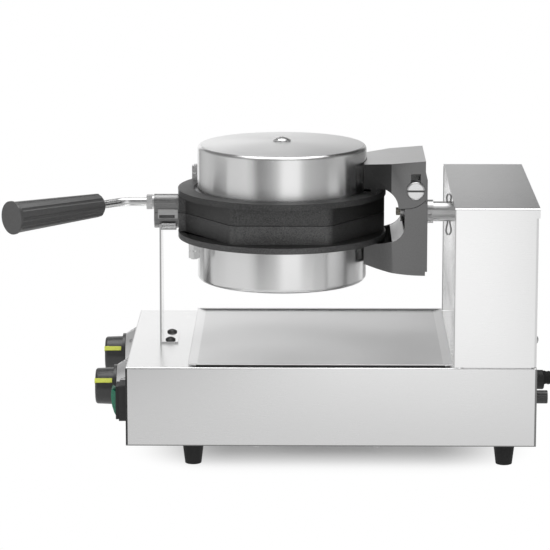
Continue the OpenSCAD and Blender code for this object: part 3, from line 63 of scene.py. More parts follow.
# ---------------------------------------------------------------- The view, the floor and the light
# The machine stands on a plain pale floor in a white room. Cards round it, which show only in
# reflections, are lighter and darker towards different sides and give the steel its bands.

# The camera, fitted to the corners of the base and the tower in the photograph
eye = bpy.data.objects.new("eye", bpy.data.cameras.new("eye"))
eye.data.sensor_width = 36
eye.data.lens = 194.114
eye.data.clip_end = 200
look_down, look_left = 0.1993156, 0.0122641
aim = Vector((-sin(look_left) * cos(look_down), cos(look_left) * cos(look_down), -sin(look_down)))
eye.location = (0.03243, -2.75326, 0.71106)
eye.rotation_euler = aim.to_track_quat("-Z", "Y").to_euler()
bpy.context.scene.collection.objects.link(eye)
bpy.context.scene.camera = eye
bpy.context.scene.view_settings.view_transform = "Standard"


def put(name, mesh):
    """An object for the mesh, at the origin."""
    made = bpy.data.objects.new(name, mesh)
    bpy.context.scene.collection.objects.link(made)
    return made


def skin(name, rows, around=True, ends=False):
    """A mesh from a grid of points: point (i, j) is rows[i, j], and each four neighbours make a face.
    around closes every row on itself, and ends closes the first and the last row with a face."""
    rows = np.asarray(rows, float)
    n, m = rows.shape[:2]
    i, j = np.meshgrid(np.arange(n - 1), np.arange(m if around else m - 1), indexing="ij")
    a, b = i * m + j, i * m + (j + 1) % m
    faces = np.stack([a, b, b + m, a + m], -1).reshape(-1, 4).tolist()
    if ends:
        faces += [list(range(m)), list(range((n - 1) * m, n * m))]
    mesh = bpy.data.meshes.new(name)
    mesh.from_pydata(rows.reshape(-1, 3).tolist(), [], faces)
    work = bmesh.new()
    work.from_mesh(mesh)
    bmesh.ops.remove_doubles(work, verts=work.verts, dist=1e-7)
    bmesh.ops.recalc_face_normals(work, faces=work.faces)
    work.to_mesh(mesh)
    work.free()
    mesh.update()
    return mesh


def blank_material(name):
    """A new material, its node tree and its output."""
    made = bpy.data.materials.new(name)
    made.use_nodes = True
    made.node_tree.nodes.clear()
    return made, made.node_tree, made.node_tree.nodes.new("ShaderNodeOutputMaterial")


def add(tree, kind, **values):
    """A node with its settings; i0, i1 and so on are the values of its inputs."""
    made = tree.nodes.new("ShaderNode" + kind)
    for key, value in values.items():
        if key[0] == "i" and key[1:].isdigit():
            made.inputs[int(key[1:])].default_value = value
        else:
            setattr(made, key, value)
    return made


def grey_ramp(tree, steps, first, last):
    """A ramp through greys; steps lists a place, from first to last, and its grey."""
    made = add(tree, "ValToRGB")
    stops = made.color_ramp.elements
    while len(stops) < len(steps):
        stops.new(0.5)
    for stop, (at, grey) in zip(stops, steps):
        stop.position = (at - first) / (last - first)
        stop.color = (grey, grey, grey, 1)
    return made


floor_half = 60
edges = (-floor_half, floor_half)
floor = put("floor", skin("floor", [[(x, y, 0) for x in edges] for y in edges], around=False))
paper, tree, out = blank_material("pale_floor")
paper_colour = 0.86
place = add(tree, "TexCoord")
far = add(tree, "VectorMath", operation="LENGTH")
tree.links.new(place.outputs["Object"], far.inputs[0])
# How far a point lies outside the deepest part of the shadow, a rectangle under the base
base_middle, shadow_half, shadow_fade, shadow_lift = (0.0512, 0, 0), (0.09, 0.05, 1), 0.105, 0.12
off_base = place.outputs["Object"]
for operation, by in [("SUBTRACT", base_middle), ("ABSOLUTE", None), ("SUBTRACT", shadow_half),
                      ("MAXIMUM", (0, 0, 0))]:
    step = add(tree, "VectorMath", operation=operation)
    tree.links.new(off_base, step.inputs[0])
    if by:
        step.inputs[1].default_value = by
    off_base = step.outputs[0]
away = add(tree, "VectorMath", operation="LENGTH")
tree.links.new(off_base, away.inputs[0])
path = add(tree, "LightPath")
# Seen by the camera: plain paper, a little lifted, near the machine and white further off
near_white = add(tree, "MapRange", interpolation_type="SMOOTHSTEP", i1=0.0, i2=shadow_fade, i3=0.0, i4=1.0)
tree.links.new(away.outputs["Value"], near_white.inputs[0])
# Seen in the metal: a little darker close to the machine, painted shade for the machine's shadow on the floor
floor_shade_in_metal = add(tree, "MapRange", interpolation_type="SMOOTHSTEP", i1=0.2, i2=0.8, i3=0.69, i4=0.95)
tree.links.new(far.outputs["Value"], floor_shade_in_metal.inputs[0])
matt = add(tree, "BsdfDiffuse", i0=(paper_colour, paper_colour, paper_colour, 1))
lift = add(tree, "Emission", i0=(1, 1, 1, 1), i1=shadow_lift)
under = add(tree, "AddShader")
tree.links.new(matt.outputs[0], under.inputs[0])
tree.links.new(lift.outputs[0], under.inputs[1])
white = add(tree, "Emission", i0=(1, 1, 1, 1), i1=1.0)
seen = add(tree, "MixShader")
tree.links.new(near_white.outputs[0], seen.inputs[0])
tree.links.new(under.outputs[0], seen.inputs[1])
tree.links.new(white.outputs[0], seen.inputs[2])
mirrored = add(tree, "Emission", i0=(1, 1, 1, 1))
tree.links.new(floor_shade_in_metal.outputs[0], mirrored.inputs[1])
by_eye = add(tree, "MixShader")
tree.links.new(path.outputs["Is Camera Ray"], by_eye.inputs[0])
tree.links.new(matt.outputs[0], by_eye.inputs[1])
tree.links.new(seen.outputs[0], by_eye.inputs[2])
bright = add(tree, "Math", operation="MAXIMUM")
tree.links.new(path.outputs["Is Glossy Ray"], bright.inputs[0])
tree.links.new(path.outputs["Is Transmission Ray"], bright.inputs[1])
by_metal = add(tree, "MixShader")
tree.links.new(bright.outputs[0], by_metal.inputs[0])
tree.links.new(by_eye.outputs[0], by_metal.inputs[1])
tree.links.new(mirrored.outputs[0], by_metal.inputs[2])
tree.links.new(by_metal.outputs[0], out.inputs[0])
floor.data.materials.append(paper)

# The cards: an upright ring, with its brightness by the direction from the middle, in degrees
# from the cook's right, where the camera stands
card_r, card_low, card_h = 0.66, 0.0005, 1.3
turn = np.linspace(-pi, pi, 97)[:-1]
ring = np.stack([card_r * np.sin(turn), -card_r * np.cos(turn)], -1)
cards = put("cards", skin("cards", [np.c_[ring, np.full(len(turn), z)] for z in (card_low, card_h)]))
cards.visible_camera = cards.visible_diffuse = cards.visible_shadow = False
cards.visible_transmission = cards.visible_volume_scatter = False
card, tree, out = blank_material("reflector_cards")
bands = [(-180, 0.82), (-172, 0.95), (-160, 0.96), (-150, 0.9), (-144, 0.26), (-135, 0.5), (-118, 0.58),
         (-92, 0.5), (-72, 0.66), (-44, 0.66), (-36, 0.5), (-28, 0.16), (-20, 0.26), (-10, 0.42), (-4, 0.62),
         (3, 1.0), (22, 1.0), (28, 0.6), (36, 0.47), (50, 0.4), (66, 0.38), (80, 0.54), (90, 0.5),
         (100, 0.3), (114, 0.12), (146, 0.1), (157, 0.48), (162.5, 0.6), (164.5, 0.5), (168, 0.54),
         (174, 0.68), (180, 0.82)]
place = add(tree, "TexCoord")
apart = add(tree, "SeparateXYZ")
tree.links.new(place.outputs["Object"], apart.inputs[0])
ahead = add(tree, "Math", operation="MULTIPLY", i1=-1.0)
tree.links.new(apart.outputs[1], ahead.inputs[0])
angle = add(tree, "Math", operation="ARCTAN2")
tree.links.new(apart.outputs[0], angle.inputs[0])
tree.links.new(ahead.outputs[0], angle.inputs[1])
share = add(tree, "MapRange", i1=-pi, i2=pi, i3=0.0, i4=1.0)
tree.links.new(angle.outputs[0], share.inputs[0])
ramp = grey_ramp(tree, bands, -180, 180)
tree.links.new(share.outputs[0], ramp.inputs[0])
# A dark strip high on the cards at the camera's side, and the others fading upwards
facing = add(tree, "MapRange", interpolation_type="SMOOTHSTEP", i1=1.0, i2=1.5, i3=1.0, i4=0.0)
wide = add(tree, "Math", operation="ABSOLUTE")
tree.links.new(angle.outputs[0], wide.inputs[0])
tree.links.new(wide.outputs[0], facing.inputs[0])
level = add(tree, "MapRange", i1=0.0, i2=card_h)
tree.links.new(apart.outputs[2], level.inputs[0])
dark_strip = [(0, 1), (0.5, 1), (0.56, 0.16), (0.8, 0.16), (0.88, 1), (card_h, 1)]
fading = [(0, 1), (0.46, 1), (0.51, 0.66), (0.56, 0.4), (0.7, 0.36), (card_h, 0.34)]
shades = [grey_ramp(tree, steps, 0, card_h) for steps in (dark_strip, fading)]
for shade in shades:
    tree.links.new(level.outputs[0], shade.inputs[0])
either = add(tree, "Mix", data_type="RGBA")
tree.links.new(facing.outputs[0], either.inputs[0])
tree.links.new(shades[1].outputs[0], either.inputs[6])
tree.links.new(shades[0].outputs[0], either.inputs[7])
shone = add(tree, "Mix", data_type="RGBA", blend_type="MULTIPLY", i0=1.0)
tree.links.new(ramp.outputs[0], shone.inputs[6])
tree.links.new(either.outputs[2], shone.inputs[7])
shine = add(tree, "Emission")
tree.links.new(shone.outputs[2], shine.inputs[0])
tree.links.new(shine.outputs[0], out.inputs[0])
cards.data.materials.append(card)

# The room: white to the eye and in the metal, and a dimmer light on everything else
room = bpy.data.worlds.new("white_room")
bpy.context.scene.world = room
room.use_nodes = True
tree = room.node_tree
tree.nodes.clear()
out = tree.nodes.new("ShaderNodeOutputWorld")
path = add(tree, "LightPath")
bright = add(tree, "Math", operation="MAXIMUM")
tree.links.new(path.outputs["Is Glossy Ray"], bright.inputs[0])
tree.links.new(path.outputs["Is Transmission Ray"], bright.inputs[1])
shown = add(tree, "Math", operation="MAXIMUM")
tree.links.new(path.outputs["Is Camera Ray"], shown.inputs[0])
tree.links.new(bright.outputs[0], shown.inputs[1])
room_light = 0.62
dim = add(tree, "Background", i0=(1, 1, 1, 1), i1=room_light)
full = add(tree, "Background", i0=(1, 1, 1, 1), i1=1.0)
mix = add(tree, "MixShader")
tree.links.new(shown.outputs[0], mix.inputs[0])
tree.links.new(dim.outputs[0], mix.inputs[1])
tree.links.new(full.outputs[0], mix.inputs[2])
tree.links.new(mix.outputs[0], out.inputs[0])

lamp_aim = Vector((0.03, 0, 0.12))
for name, spot, size, power in [("lamp_over", (0.1, 0.35, 1.9), 1.6, 14),
                                ("lamp_left", (-1.1, -1.2, 1.7), 1.2, 10)]:
    lamp = bpy.data.objects.new(name, bpy.data.lights.new(name, "AREA"))
    lamp.data.size = size
    lamp.data.energy = power
    lamp.location = spot
    lamp.rotation_euler = (lamp_aim - Vector(spot)).to_track_quat("-Z", "Y").to_euler()
    bpy.context.scene.collection.objects.link(lamp)

# ---------------------------------------------------------------- Base and tower
# Satin stainless sheet, cut, folded and spot-welded: a shell open below with a bottom plate
# screwed in, and a tower cover with a plate let into its front and a louvred cover behind.

mm = 0.001

def face_finish():
    """The node group that every finish uses: fine grain gives a mask, which blends two colours,
    spreads the roughness and raises the surface; wide, soft smudges shade both a little."""
    group = bpy.data.node_groups.new("face_finish", "ShaderNodeTree")
    face = group.interface
    for name, kind, value in [
        ("Place", "NodeSocketVector", None), ("Light", "NodeSocketColor", (0.8, 0.8, 0.8, 1)),
        ("Dark", "NodeSocketColor", (0.5, 0.5, 0.5, 1)), ("Rough", "NodeSocketFloat", 0.4),
        ("Spread", "NodeSocketFloat", 0.1), ("Depth", "NodeSocketFloat", 0.0001),
        ("Smudge", "NodeSocketFloat", 0.05), ("Soft place", "NodeSocketVector", None),
    ]:
        made = face.new_socket(name, in_out="INPUT", socket_type=kind)
        if value is not None:
            made.default_value = value
    for name, kind in [("Colour", "NodeSocketColor"), ("Roughness", "NodeSocketFloat"),
                       ("Normal", "NodeSocketVector")]:
        face.new_socket(name, in_out="OUTPUT", socket_type=kind)
    given, given_out = group.nodes.new("NodeGroupInput"), group.nodes.new("NodeGroupOutput")
    link = group.links.new
    grain = add(group, "TexNoise", i2=1.0, i3=3.0, i4=0.6)
    link(given.outputs["Place"], grain.inputs["Vector"])
    mask = add(group, "MapRange", i1=0.32, i2=0.68)
    link(grain.outputs[0], mask.inputs[0])
    blend = add(group, "Mix", data_type="RGBA")
    link(mask.outputs[0], blend.inputs[0])
    link(given.outputs["Dark"], blend.inputs[6])
    link(given.outputs["Light"], blend.inputs[7])
    soft = add(group, "TexNoise", i2=1.0, i3=2.0, i4=0.5)
    link(given.outputs["Soft place"], soft.inputs["Vector"])
    cloud = add(group, "MapRange", i1=0.35, i2=0.7)
    link(soft.outputs[0], cloud.inputs[0])
    shade = add(group, "Math", operation="MULTIPLY")
    link(cloud.outputs[0], shade.inputs[0])
    link(given.outputs["Smudge"], shade.inputs[1])
    keep = add(group, "Math", operation="SUBTRACT", i0=1.0)
    link(shade.outputs[0], keep.inputs[1])
    darker = add(group, "VectorMath", operation="SCALE")
    link(blend.outputs[2], darker.inputs[0])
    link(keep.outputs[0], darker.inputs["Scale"])
    link(darker.outputs[0], given_out.inputs["Colour"])
    off = add(group, "Math", operation="SUBTRACT", i1=0.5)
    link(mask.outputs[0], off.inputs[0])
    rough = add(group, "Math", operation="MULTIPLY_ADD")
    link(off.outputs[0], rough.inputs[0])
    link(given.outputs["Spread"], rough.inputs[1])
    link(given.outputs["Rough"], rough.inputs[2])
    greasy = add(group, "Math", operation="ADD", use_clamp=True)
    link(rough.outputs[0], greasy.inputs[0])
    link(shade.outputs[0], greasy.inputs[1])
    link(greasy.outputs[0], given_out.inputs["Roughness"])
    bump = add(group, "Bump", i0=1.0)
    link(given.outputs["Depth"], bump.inputs["Distance"])
    link(mask.outputs[0], bump.inputs["Height"])
    link(bump.outputs[0], given_out.inputs["Normal"])
    return group


finish_group = face_finish()
smudge_scale = 12


def finish(name, light, dark, metallic=0.0, rough=0.4, spread=0.1, depth=0.0001, grain=(900, 900, 900),
           smudge=0.04, spin=None, brushed=0.0, **plain):
    """A material. light and dark are the grain's two greys or colours, grain the number of
    grains to a metre along X, Y and Z. brushed is how far the gloss spreads across the grain,
    which runs along X or, on a turned piece, in rings round its middle, spin = (x, y). The other
    values go on the shader's own sockets."""
    made, tree, out = blank_material(name)
    shader = add(tree, "BsdfPrincipled")
    tree.links.new(shader.outputs[0], out.inputs[0])
    place = add(tree, "TexCoord")
    where = place.outputs["Object"]
    if spin is not None:
        middle = add(tree, "Mapping", vector_type="POINT", i1=(-spin[0], -spin[1], 0))
        tree.links.new(where, middle.inputs[0])
        parts = add(tree, "SeparateXYZ")
        tree.links.new(middle.outputs[0], parts.inputs[0])
        level = add(tree, "CombineXYZ")
        tree.links.new(parts.outputs[0], level.inputs[0])
        tree.links.new(parts.outputs[1], level.inputs[1])
        radius = add(tree, "VectorMath", operation="LENGTH")
        tree.links.new(level.outputs[0], radius.inputs[0])
        ringed = add(tree, "CombineXYZ")
        tree.links.new(radius.outputs["Value"], ringed.inputs[0])
        tree.links.new(parts.outputs[2], ringed.inputs[2])
        where = ringed.outputs[0]
    if brushed:
        way = add(tree, "CombineXYZ", i0=1.0)
        if spin is not None:
            back = add(tree, "Math", operation="MULTIPLY", i1=-1.0)
            tree.links.new(parts.outputs[1], back.inputs[0])
            tree.links.new(back.outputs[0], way.inputs[0])
            tree.links.new(parts.outputs[0], way.inputs[1])
        posed = add(tree, "VectorTransform", vector_type="VECTOR", convert_from="OBJECT", convert_to="WORLD")
        unit = add(tree, "VectorMath", operation="NORMALIZE")
        tree.links.new(way.outputs[0], posed.inputs[0])
        tree.links.new(posed.outputs[0], unit.inputs[0])
        tree.links.new(unit.outputs[0], shader.inputs["Tangent"])
        shader.inputs["Anisotropic"].default_value = brushed
        shader.inputs["Anisotropic Rotation"].default_value = 0.25
    scaled = add(tree, "Mapping", vector_type="POINT", i3=grain)
    tree.links.new(where, scaled.inputs[0])
    softly = add(tree, "Mapping", vector_type="POINT", i3=(smudge_scale,) * 3)
    tree.links.new(place.outputs["Object"], softly.inputs[0])
    effect = tree.nodes.new("ShaderNodeGroup")
    effect.node_tree = finish_group
    tree.links.new(scaled.outputs[0], effect.inputs["Place"])
    tree.links.new(softly.outputs[0], effect.inputs["Soft place"])
    for key, value in [("Light", light), ("Dark", dark)]:
        colour = (value,) * 3 if isinstance(value, float) else value
        effect.inputs[key].default_value = (*colour, 1)
    for key, value in [("Rough", rough), ("Spread", spread), ("Depth", depth), ("Smudge", smudge)]:
        effect.inputs[key].default_value = value
    tree.links.new(effect.outputs["Colour"], shader.inputs["Base Color"])
    tree.links.new(effect.outputs["Roughness"], shader.inputs["Roughness"])
    tree.links.new(effect.outputs["Normal"], shader.inputs["Normal"])
    shader.inputs["Metallic"].default_value = metallic
    for key, value in plain.items():
        shader.inputs[key.replace("_", " ").title().replace("Ior", "IOR")].default_value = value
    return made


def settle(piece, node, material):
    """The piece takes the CAD node's place and its body, and the material; the node is hidden."""
    piece.data.materials.clear()
    piece.data.materials.append(material)
    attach(piece, frame["nodes"][node]["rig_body"])
    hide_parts(node)
    return piece


# Corners nearer than this, in metres, are one; faces that meet at less, in degrees, are one
weld, flat = 2e-6, 0.3


def dressed(node, material, edge=0.0004, fold=32, cuts=(), areas=()):
    """A finished copy of a CAD node: its triangles joined into whole faces, and each edge sharper
    than fold degrees eased by a bevel of the width edge, or left sharp where that is 0. cuts lists
    places in mm along X or Z at which faces are divided. areas lists faces with a material of
    their own: a rule for a face's middle in mm and its normal, and the material."""
    mesh = frame["nodes"][node].data.copy()
    for name in ("custom_normal", "sharp_face", "sharp_edge"):
        if name in mesh.attributes:
            mesh.attributes.remove(mesh.attributes[name])
    work = bmesh.new()
    work.from_mesh(mesh)
    bmesh.ops.remove_doubles(work, verts=work.verts, dist=weld)
    bmesh.ops.dissolve_limit(work, angle_limit=radians(flat), verts=work.verts, edges=work.edges)
    for axis, at in cuts:
        across = Vector([float(axis == name) for name in "XYZ"])
        geometry = work.verts[:] + work.edges[:] + work.faces[:]
        bmesh.ops.bisect_plane(work, geom=geometry, plane_co=across * at / 1000, plane_no=across, dist=1e-7)
    for number, (rule, _) in enumerate(areas):
        for face in work.faces:
            if rule(1000 * face.calc_center_median(), face.normal):
                face.material_index = number + 1
    work.to_mesh(mesh)
    work.free()
    mesh.polygons.foreach_set("use_smooth", np.ones(len(mesh.polygons), bool))
    piece = put("fine_" + node, mesh)
    slots = np.empty(len(mesh.polygons), np.int32)
    mesh.polygons.foreach_get("material_index", slots)
    settle(piece, node, material)
    for _, own in areas:
        mesh.materials.append(own)
    mesh.polygons.foreach_set("material_index", slots)
    if edge:
        ease = piece.modifiers.new("eased edges", "BEVEL")
        ease.width = edge
        ease.segments = 2
        ease.limit_method = "ANGLE"
        ease.angle_limit = radians(fold)
        ease.harden_normals = True
        ease.use_clamp_overlap = True
    else:
        mesh.set_sharp_from_angle(angle=radians(fold))
    return piece


# Satin sheet: fine streaks along X and a gloss that spreads across them
streaks = dict(metallic=1.0, spread=0.03, depth=0.0000006, grain=(60, 4000, 4000))
satin = finish("satin_stainless", 0.88, 0.865, rough=0.28, smudge=0.01, brushed=0.3, **streaks)
# The deck's copy below is painted lighter, as painted light; the two dark greys after it are painted shade for
# fold lines and the inside of a rim
deck_painted_light = finish("deck_stainless", 0.96, 0.945, rough=0.26, smudge=0.01, brushed=0.3, **streaks)
painted_shade_grey = finish("satin_painted_shade", 0.3, 0.26, metallic=1.0, rough=0.42, spread=0.05, depth=0.000001,
                   grain=(900, 900, 900))
fold_line_shade = finish("fold_line_painted_shade", 0.075, 0.05, metallic=0.8, rough=0.5, spread=0.05, depth=0.000001,
                   grain=(900, 900, 900))


def side_strip(x0, x1, z0=0, z1=300):
    """A rule for the faces of the long sides between two places along X and two heights."""
    return lambda at, way: abs(way.y) > 0.9 and x0 < at.x < x1 and z0 < at.z < z1


def on_top(z, least=0.9):
    """A rule for the faces above a height whose normal's upward part is more than least."""
    return lambda at, way: way.z > least and at.z > z


# Painted shade makes the folds dark lines on the sides, and painted light makes the top brighter.
# The base runs from front_x to back_x and its sides end at base_low; base_top is just below its deck.
front_x, back_x, base_low, base_top = -136.343, 238.657, 20.5, 93
line = 1.8
low_line = base_low + line / 2
dressed("base_shell", satin, edge=0.0003,
        cuts=[("X", front_x + line), ("X", back_x - line), ("Z", low_line)],
        areas=[(side_strip(front_x - 1, front_x + line), fold_line_shade),
               (side_strip(back_x - line, back_x + 1), painted_shade_grey),
               (side_strip(front_x, back_x, 0, low_line), painted_shade_grey),
               (on_top(base_top), deck_painted_light)])
# The tower's sheet is painted lighter than the base's, as painted light; its top is painted darker, as painted
# shade, and a line of painted shade runs down its front edge
tower_painted_light = finish("tower_stainless", 0.99, 0.98, rough=0.28, smudge=0.01, brushed=0.3, **streaks)
tower_edge_shade = finish("tower_fold", 0.6, 0.55, metallic=1.0, rough=0.4, spread=0.05, depth=0.000001,
                   grain=(900, 900, 900))
tower_top_painted_shade = finish("tower_top_stainless", 0.76, 0.75, rough=0.28, smudge=0.01, brushed=0.3, **streaks)
fold_inside = finish("fold_inside", 0.98, 0.96, metallic=1.0, rough=0.1, spread=0.03, depth=0.000001,
                     grain=(900, 900, 900))
# The tower's front edge, its back fold, the face of its front plate, a height just below its
# top, and how far from the middle the inside of its sheet ends
tower_x, tower_back, plate_x, tower_z, inside_y = 162.557, 235.857, 169.3, 240, 124.2
dressed("tower_cover", tower_painted_light, edge=0.0003,
        cuts=[("X", tower_x + line / 2), ("X", tower_back), ("X", plate_x)],
        areas=[(on_top(tower_z), tower_top_painted_shade),
               (lambda at, way: way.y * at.y < 0 and abs(at.y) < inside_y and at.x < plate_x, fold_inside),
               (side_strip(tower_x - 1, tower_x + line / 2), tower_edge_shade)])
dressed("tower_front_plate", finish("front_plate_stainless", 0.97, 0.95, metallic=1.0, rough=0.14, spread=0.02,
                                    depth=0.000001, grain=(1600, 25, 1600), smudge=0.02), edge=0.0002)
inner_satin = finish("rear_plate_stainless", 0.84, 0.8, metallic=1.0, rough=0.32, spread=0.04, depth=0.000001,
                     grain=(1600, 25, 1600), smudge=0.02)
dressed("tower_rear_cover", inner_satin, edge=0.0003)
mill = finish("mill_sheet", 0.62, 0.52, metallic=1.0, rough=0.42, spread=0.12, depth=0.00001,
              grain=(60, 900, 900), smudge=0.06)
dressed("bottom_plate", mill, edge=0.0002)
zinc = finish("zinc_plate", 0.68, 0.52, metallic=1.0, rough=0.34, spread=0.16, depth=0.00001,
              grain=(700, 700, 700), smudge=0.05)
dressed("foot_screws", zinc, edge=0)
dressed("rear_cover_screws", zinc, edge=0)
dressed("bearing_bracket", zinc, edge=0.0003)
bronze = finish("sintered_bronze", (0.55, 0.38, 0.16), (0.42, 0.27, 0.1), metallic=1.0, rough=0.4, spread=0.2,
                depth=0.00002, grain=(1800, 1800, 1800))
dressed("shaft_bushes", bronze, edge=0.0003)
rubber = finish("black_rubber", 0.018, 0.012, rough=0.62, spread=0.16, depth=0.00005, grain=(1500, 1500, 1500),
                smudge=0.1, specular_ior_level=0.4)
dressed("rubber_feet", rubber, edge=0.0006)

# ---------------------------------------------------------------- Front rest
# An upright of mirror-bright sheet, folded to a foot that two dark dome screws hold, with a
# saddle rolled into its top edge for the pan's front lugs.

mirror_sheet = finish("bright_sheet", 0.9, 0.86, metallic=1.0, rough=0.12, spread=0.05, depth=0.000002,
                      grain=(1200, 1200, 30), smudge=0.02)
saddle_grey = finish("saddle_sheet", 0.4, 0.34, metallic=1.0, rough=0.26, spread=0.06, depth=0.000004,
                     grain=(1200, 1200, 1200))
saddle_z = 199
dressed("front_upright", mirror_sheet, edge=0.0003, areas=[(lambda at, way: at.z > saddle_z, saddle_grey)])
dark_steel = finish("blackened_steel", 0.16, 0.09, metallic=1.0, rough=0.38, spread=0.2, depth=0.00002,
                    grain=(900, 900, 900))
dressed("upright_screws", dark_steel, edge=0)

# ---------------------------------------------------------------- Controls
# Two rotary controls with a cone-shaped dial ring and a moulded knob each, and a green rocker
# switch in a black frame. The bodies behind the panel are fixed by their threaded bushings.

dial_metal = finish("dial_silver", 0.82, 0.74, metallic=1.0, rough=0.3, spread=0.08, depth=0.000004,
                    grain=(1800, 1800, 1800), smudge=0.02)
for node in ("thermostat_dial", "timer_dial"):
    dressed(node, dial_metal, edge=0.0003)
bakelite = finish("black_bakelite", 0.026, 0.018, rough=0.3, spread=0.04, depth=0.0000015,
                  grain=(700, 700, 700), smudge=0.06, specular_ior_level=0.85)
for node in ("thermostat_knob", "timer_knob"):
    dressed(node, bakelite, edge=0.0005)
lime = finish("pointer_lime", (0.74, 0.79, 0.12), (0.66, 0.72, 0.09), rough=0.38, spread=0.08, depth=0.00001,
              grain=(900, 900, 900))
for node in ("thermostat_pointer", "timer_pointer"):
    dressed(node, lime, edge=0.0003)
# The scales, printed on the cones: a stroke for each step and a number beside each main one.
# A point of the print is (r, turn): r from the spindle's axis, turn clockwise from the top as
# the cook sees it. The cone runs 1.6 mm forward for each mm that r shrinks, and its normal
# has the parts normal_out and normal_ahead.
dial_z, cone_r, cone_run, normal_out, normal_ahead = 62.8, 27.0, 1.6, 0.848, 0.53


def on_cone(y, r, turn, proud=0.05):
    """Points on a dial's cone at radius r and the given turn, standing proud of it."""
    out = r + normal_out * proud
    ahead = front_x - cone_run * (cone_r - r) - normal_ahead * proud
    return np.stack([ahead, y - out * np.sin(turn), dial_z + out * np.cos(turn)], -1)


def printed(name, y, corners, faces):
    """A printed mark from its corners (r, turn) and its faces."""
    mesh = bpy.data.meshes.new(name)
    mesh.from_pydata((on_cone(y, corners[:, 0], corners[:, 1]) * mm).tolist(), [], faces)
    mark = put(name, mesh)
    mark.data.materials.append(print_black)
    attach(mark, "chassis")
    layer = mark.modifiers.new("ink", "SOLIDIFY")
    layer.thickness, layer.offset = 0.00005, -1
    return mark


print_black = finish("print_black", 0.02, 0.015, rough=0.5, spread=0.1, depth=0.000002, grain=(900, 900, 900))
# Where the strokes begin (main and fine ones) and end, half their angle, and the numbers' foot,
# middle radius and size (short and long ones)
main_r, fine_r, rim_r, main_half, fine_half = 24.6, 25.4, 26.6, 0.013, 0.007
number_foot, number_r, short_size, long_size = 22.9, 23.5, 3.6, 3.1
# Each scale's place across, its numbers, the degrees from one to the next and the strokes to each
for name, y, numbers, gap, fine in [("thermostat", 67.0, range(0, 301, 50), 45, 5),
                                    ("timer", -67.0, range(6), 60, 5)]:
    turns = np.radians(np.arange(fine * (len(numbers) - 1) + 1) * gap / fine)
    main = np.arange(len(turns)) % fine == 0
    inner, half = np.where(main, main_r, fine_r), np.where(main, main_half, fine_half)
    outer = rim_r + 0 * inner
    stroke = [(inner, turns - half), (inner, turns + half), (outer, turns + half), (outer, turns - half)]
    corners = np.stack([np.stack(corner, -1) for corner in stroke], 1).reshape(-1, 2)
    printed(name + "_strokes", y, corners, np.arange(len(corners)).reshape(-1, 4).tolist())
    for place_in, number in enumerate(numbers):
        letters = bpy.data.curves.new("digits", "FONT")
        letters.body, letters.align_x = str(number), "CENTER"
        letters.size = short_size if number < 100 else long_size
        letters.resolution_u = 3
        text = bpy.data.meshes.new_from_object(bpy.data.objects.new("digits", letters))
        at = np.empty(3 * len(text.vertices))
        text.vertices.foreach_get("co", at)
        at = at.reshape(-1, 3)
        turn_to = radians(gap * place_in)
        corners = np.stack([number_foot + normal_ahead * at[:, 1], turn_to + at[:, 0] / number_r], -1)
        faces = [list(face.vertices) for face in text.polygons]
        printed("%s_number_%d" % (name, number), y, corners, faces)
for node in ("thermostat_spindle", "timer_spindle"):
    dressed(node, zinc, edge=0.0003)
dressed("thermostat_body", mill, edge=0.0006)
nylon = finish("black_nylon", 0.022, 0.015, rough=0.46, spread=0.14, depth=0.00003, grain=(1400, 1400, 1400),
               smudge=0.08)
dressed("timer_body", nylon, edge=0.0006)
dressed("switch_housing", nylon, edge=0.0008)
green = finish("rocker_green", (0.012, 0.2, 0.11), (0.008, 0.15, 0.08), rough=0.2, spread=0.05, depth=0.00001,
               grain=(300, 300, 300), coat_weight=0.4, coat_roughness=0.08)
dressed("rocker", green, edge=0.0006)
cream = finish("terminal_cream", (0.78, 0.72, 0.6), (0.7, 0.64, 0.52), rough=0.5, spread=0.1, depth=0.00003,
               grain=(900, 900, 900))
dressed("terminal_block", cream, edge=0.0004)
dressed("limit_thermostat", bakelite, edge=0.0005)
red = finish("reset_red", (0.55, 0.03, 0.02), (0.45, 0.02, 0.015), rough=0.32, spread=0.1, depth=0.00001,
             grain=(900, 900, 900))
dressed("reset_button", red, edge=0.0004)
dressed("reset_cap", bakelite, edge=0.0003)

# ---------------------------------------------------------------- Mains lead
# A round rubber lead, straight out of its gland at the back, down in one easy bend on to its
# coil on the table behind the machine, and a moulded earthed plug on a short tail.

lead_d = 7.2
gland_end = (253.657, -14.0, 59.25)
route = [gland_end, (259.7, -14.0, 59.2), (265.7, -14.4, 58.8), (271.5, -15.7, 57.5), (276.8, -17.8, 55.5),
         (281.4, -20.6, 52.7), (285.1, -24.0, 49.3), (287.8, -27.9, 45.5), (289.6, -32.0, 41.5),
         (291.4, -36.1, 37.4), (293.1, -40.3, 33.3), (294.9, -44.4, 29.2), (296.7, -48.5, 25.2),
         (299.4, -52.3, 21.4), (303.1, -55.7, 18.0), (307.7, -58.5, 15.3), (313.0, -60.6, 13.2),
         (318.8, -61.9, 11.9), (324.8, -62.344, 11.5)]
coil_middle, coil_turns, coil_pitch, coil_outer = (332.0, -10.0), 6.25, 7.9, 52.344
coil_low = lead_d / 2
tail = [(384.344, -2.8, 3.6), (384.5, 8.0, 4.5), (384.5, 18.0, 7.0), (384.5, 28.0, 11.0), (384.344, 40.0, 13.0)]


def coil_points(per_turn):
    """A flat double coil: r = outer - pitch (turns / 2 - |back|), back being the turns from the
    middle. The turns wind inwards at the upper level, the middle half turn climbs down half a
    cosine wave, and the turns wind out again at the lower level."""
    turns = np.linspace(0, coil_turns, int(coil_turns * per_turn) + 1)
    back = turns - coil_turns / 2
    r = coil_outer - coil_pitch * (coil_turns / 2 - np.abs(back))
    down = np.clip(0.5 + 2 * back, 0, 1)
    angle = 2 * pi * turns - pi / 2
    return np.stack([coil_middle[0] + r * np.cos(angle), coil_middle[1] + r * np.sin(angle),
                     coil_low + coil_pitch * (1 + np.cos(pi * down)) / 2], -1)


